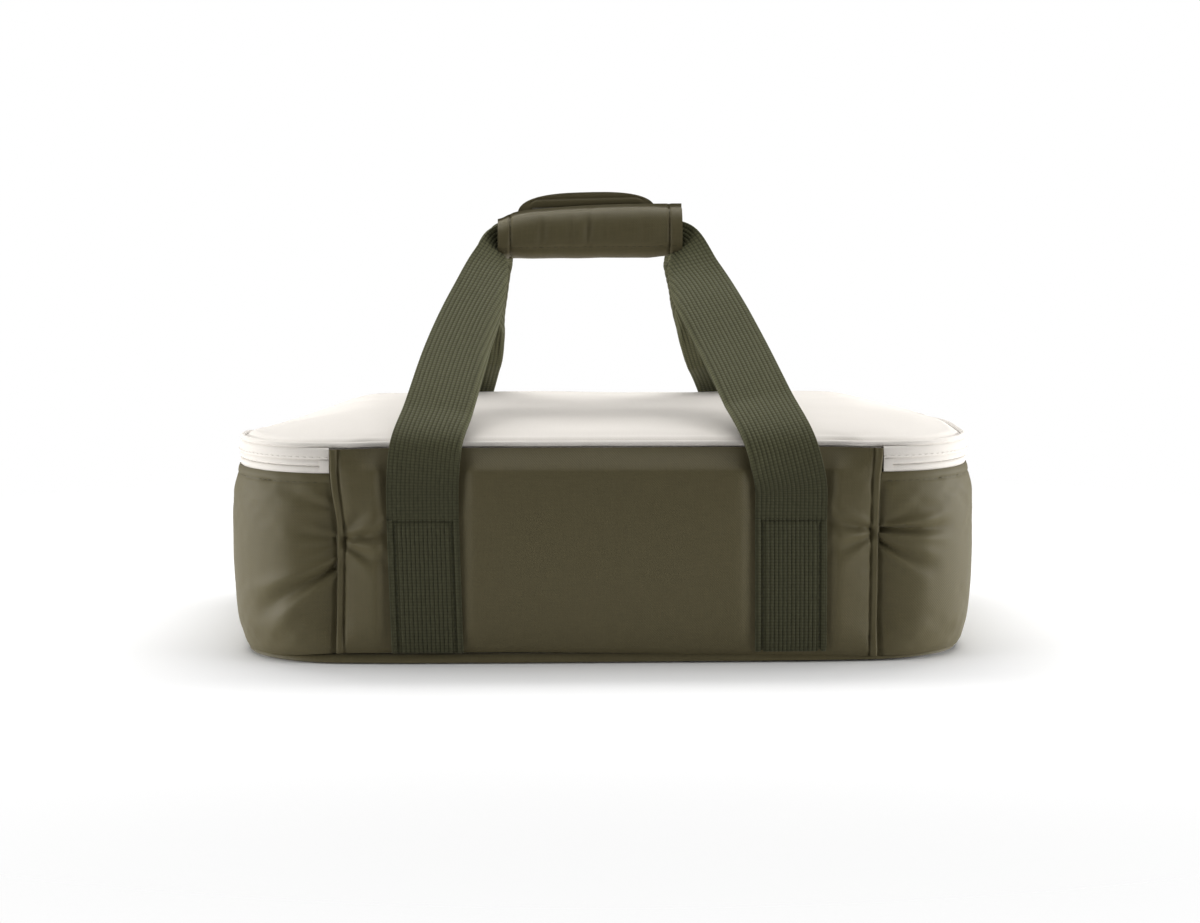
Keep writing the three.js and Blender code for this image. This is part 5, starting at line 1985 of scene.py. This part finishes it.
class CARRIER_OT_stage(bpy.types.Operator):
    """Adds the floor, the lights and the camera"""

    bl_idname = "carrier.stage"
    bl_label = "Stage"

    def execute(self, context):
        scene = context.scene
        scene.view_settings.view_transform = "Standard"
        self.camera(scene)
        self.floor(scene)
        world = scene.world or bpy.data.worlds.new("world")
        scene.world = world
        world.use_nodes = True
        self.sky(world.node_tree, settings("carrier_stage").sky)
        for name, light in LIGHTS.items():
            self.light(scene, name, *light)
        return {"FINISHED"}

    def camera(self, scene):
        camera = bpy.data.objects.new("camera", bpy.data.cameras.new("camera"))
        scene.collection.objects.link(camera)
        camera.data.lens, camera.data.sensor_width = CAMERA_LENS, CAMERA_SENSOR
        camera.location = CAMERA_PLACE
        level = math.cos(CAMERA_PITCH)
        ahead = math.sqrt(1 - CAMERA_YAW**2)
        aim(camera, Vector((CAMERA_YAW * level, ahead * level, -math.sin(CAMERA_PITCH))))
        scene.camera = camera

    def light(self, scene, name, setting, share, place, size, target):
        lamp = bpy.data.lights.new(name, "AREA")
        lamp.shape = "RECTANGLE"
        lamp.energy = share * getattr(settings("carrier_stage"), setting)
        lamp.size, lamp.size_y = size
        piece = bpy.data.objects.new(name, lamp)
        piece.location = place
        aim(piece, Vector(target) - Vector(place))
        scene.collection.objects.link(piece)

    def sky(self, tree, strength):
        """Dim white light from all round, and plain white paper beyond the floor"""
        dim = tree.nodes["Background"]
        dim.inputs["Color"].default_value = (1, 1, 1, 1)
        dim.inputs["Strength"].default_value = strength
        paper = tree.nodes.new("ShaderNodeBackground")
        paper.inputs["Color"].default_value = (1, 1, 1, 1)
        seen = tree.nodes.new("ShaderNodeLightPath")
        choice = tree.nodes.new("ShaderNodeMixShader")
        tree.links.new(seen.outputs["Is Camera Ray"], choice.inputs["Fac"])
        tree.links.new(dim.outputs["Background"], choice.inputs[1])
        tree.links.new(paper.outputs["Background"], choice.inputs[2])
        tree.links.new(choice.outputs["Shader"], tree.nodes["World Output"].inputs["Surface"])

    def floor(self, scene):
        """Pale round floor that fades into the white round it"""
        turns = np.arange(FLOOR_SIDES) / FLOOR_SIDES * 2 * math.pi
        points = [(FLOOR_REACH * math.cos(a), FLOOR_REACH * math.sin(a), 0.0) for a in turns]
        mesh = bpy.data.meshes.new("floor")
        mesh.from_pydata(points, [], [tuple(range(len(points)))])
        material, shader, principled = new_material("pale_floor")
        place = object_place(shader)
        mottle = shader.noise(place, 3.0)
        pale = shader.mix(mottle, *((tone, tone, tone, 1) for tone in FLOOR_TONES))
        colour_and_gloss(shader, principled, pale, shader.spread(mottle, 0.75, 0.9))
        away = shader.add("ShaderNodeVectorMath", {0: place}, operation="LENGTH").outputs["Value"]
        near, far = FLOOR_FADE
        fade = shader.add(
            "ShaderNodeMapRange",
            {"Value": away, "From Min": near, "From Max": far, "To Min": 1.0, "To Max": 0.0},
            interpolation_type="SMOOTHSTEP",
        )
        shader.set(principled.inputs["Alpha"], fade.outputs["Result"])
        mesh.materials.append(material)
        floor = bpy.data.objects.new("floor", mesh)
        scene.collection.objects.link(floor)


class CARRIER_PT_panel(bpy.types.Panel):
    """Lists the carrier's sizes, colours and builders"""

    bl_label = "Casserole Carrier"
    bl_idname = "CARRIER_PT_panel"
    bl_space_type = "VIEW_3D"
    bl_region_type = "UI"
    bl_category = "Carrier"

    def draw(self, context):
        for name in PROPERTY_GROUPS:
            box = self.layout.box()
            group = getattr(context.scene, name)
            for key in group.bl_rna.properties.keys():
                if key not in {"rna_type", "name"}:
                    box.prop(group, key)
        for operator in OPERATORS:
            self.layout.operator(operator.bl_idname)


PROPERTY_GROUPS = {
    "carrier_shape": CarrierShape,
    "carrier_webbing": CarrierWebbing,
    "carrier_finish": CarrierFinish,
    "carrier_stage": CarrierStage,
}
OPERATORS = (
    CARRIER_OT_stage,
    CARRIER_OT_walls,
    CARRIER_OT_wall_stitching,
    CARRIER_OT_base,
    CARRIER_OT_lining,
    CARRIER_OT_zip,
    CARRIER_OT_lid,
    CARRIER_OT_handles,
    CARRIER_OT_straps,
    CARRIER_OT_grip,
)
CLASSES = (*PROPERTY_GROUPS.values(), *OPERATORS, CARRIER_PT_panel)


def register():
    for cls in CLASSES:
        bpy.utils.register_class(cls)
    for name, group in PROPERTY_GROUPS.items():
        setattr(bpy.types.Scene, name, bpy.props.PointerProperty(type=group))


def unregister():
    for name in PROPERTY_GROUPS:
        delattr(bpy.types.Scene, name)
    for cls in reversed(CLASSES):
        bpy.utils.unregister_class(cls)


def main():
    register()
    bpy.ops.carrier.stage()
    bpy.ops.carrier.walls()
    bpy.ops.carrier.wall_stitching()
    bpy.ops.carrier.base()
    bpy.ops.carrier.lining()
    bpy.ops.carrier.zip()
    bpy.ops.carrier.lid()
    bpy.ops.carrier.handles()
    bpy.ops.carrier.straps()
    bpy.ops.carrier.grip()


if __name__ == "__main__":
    main()
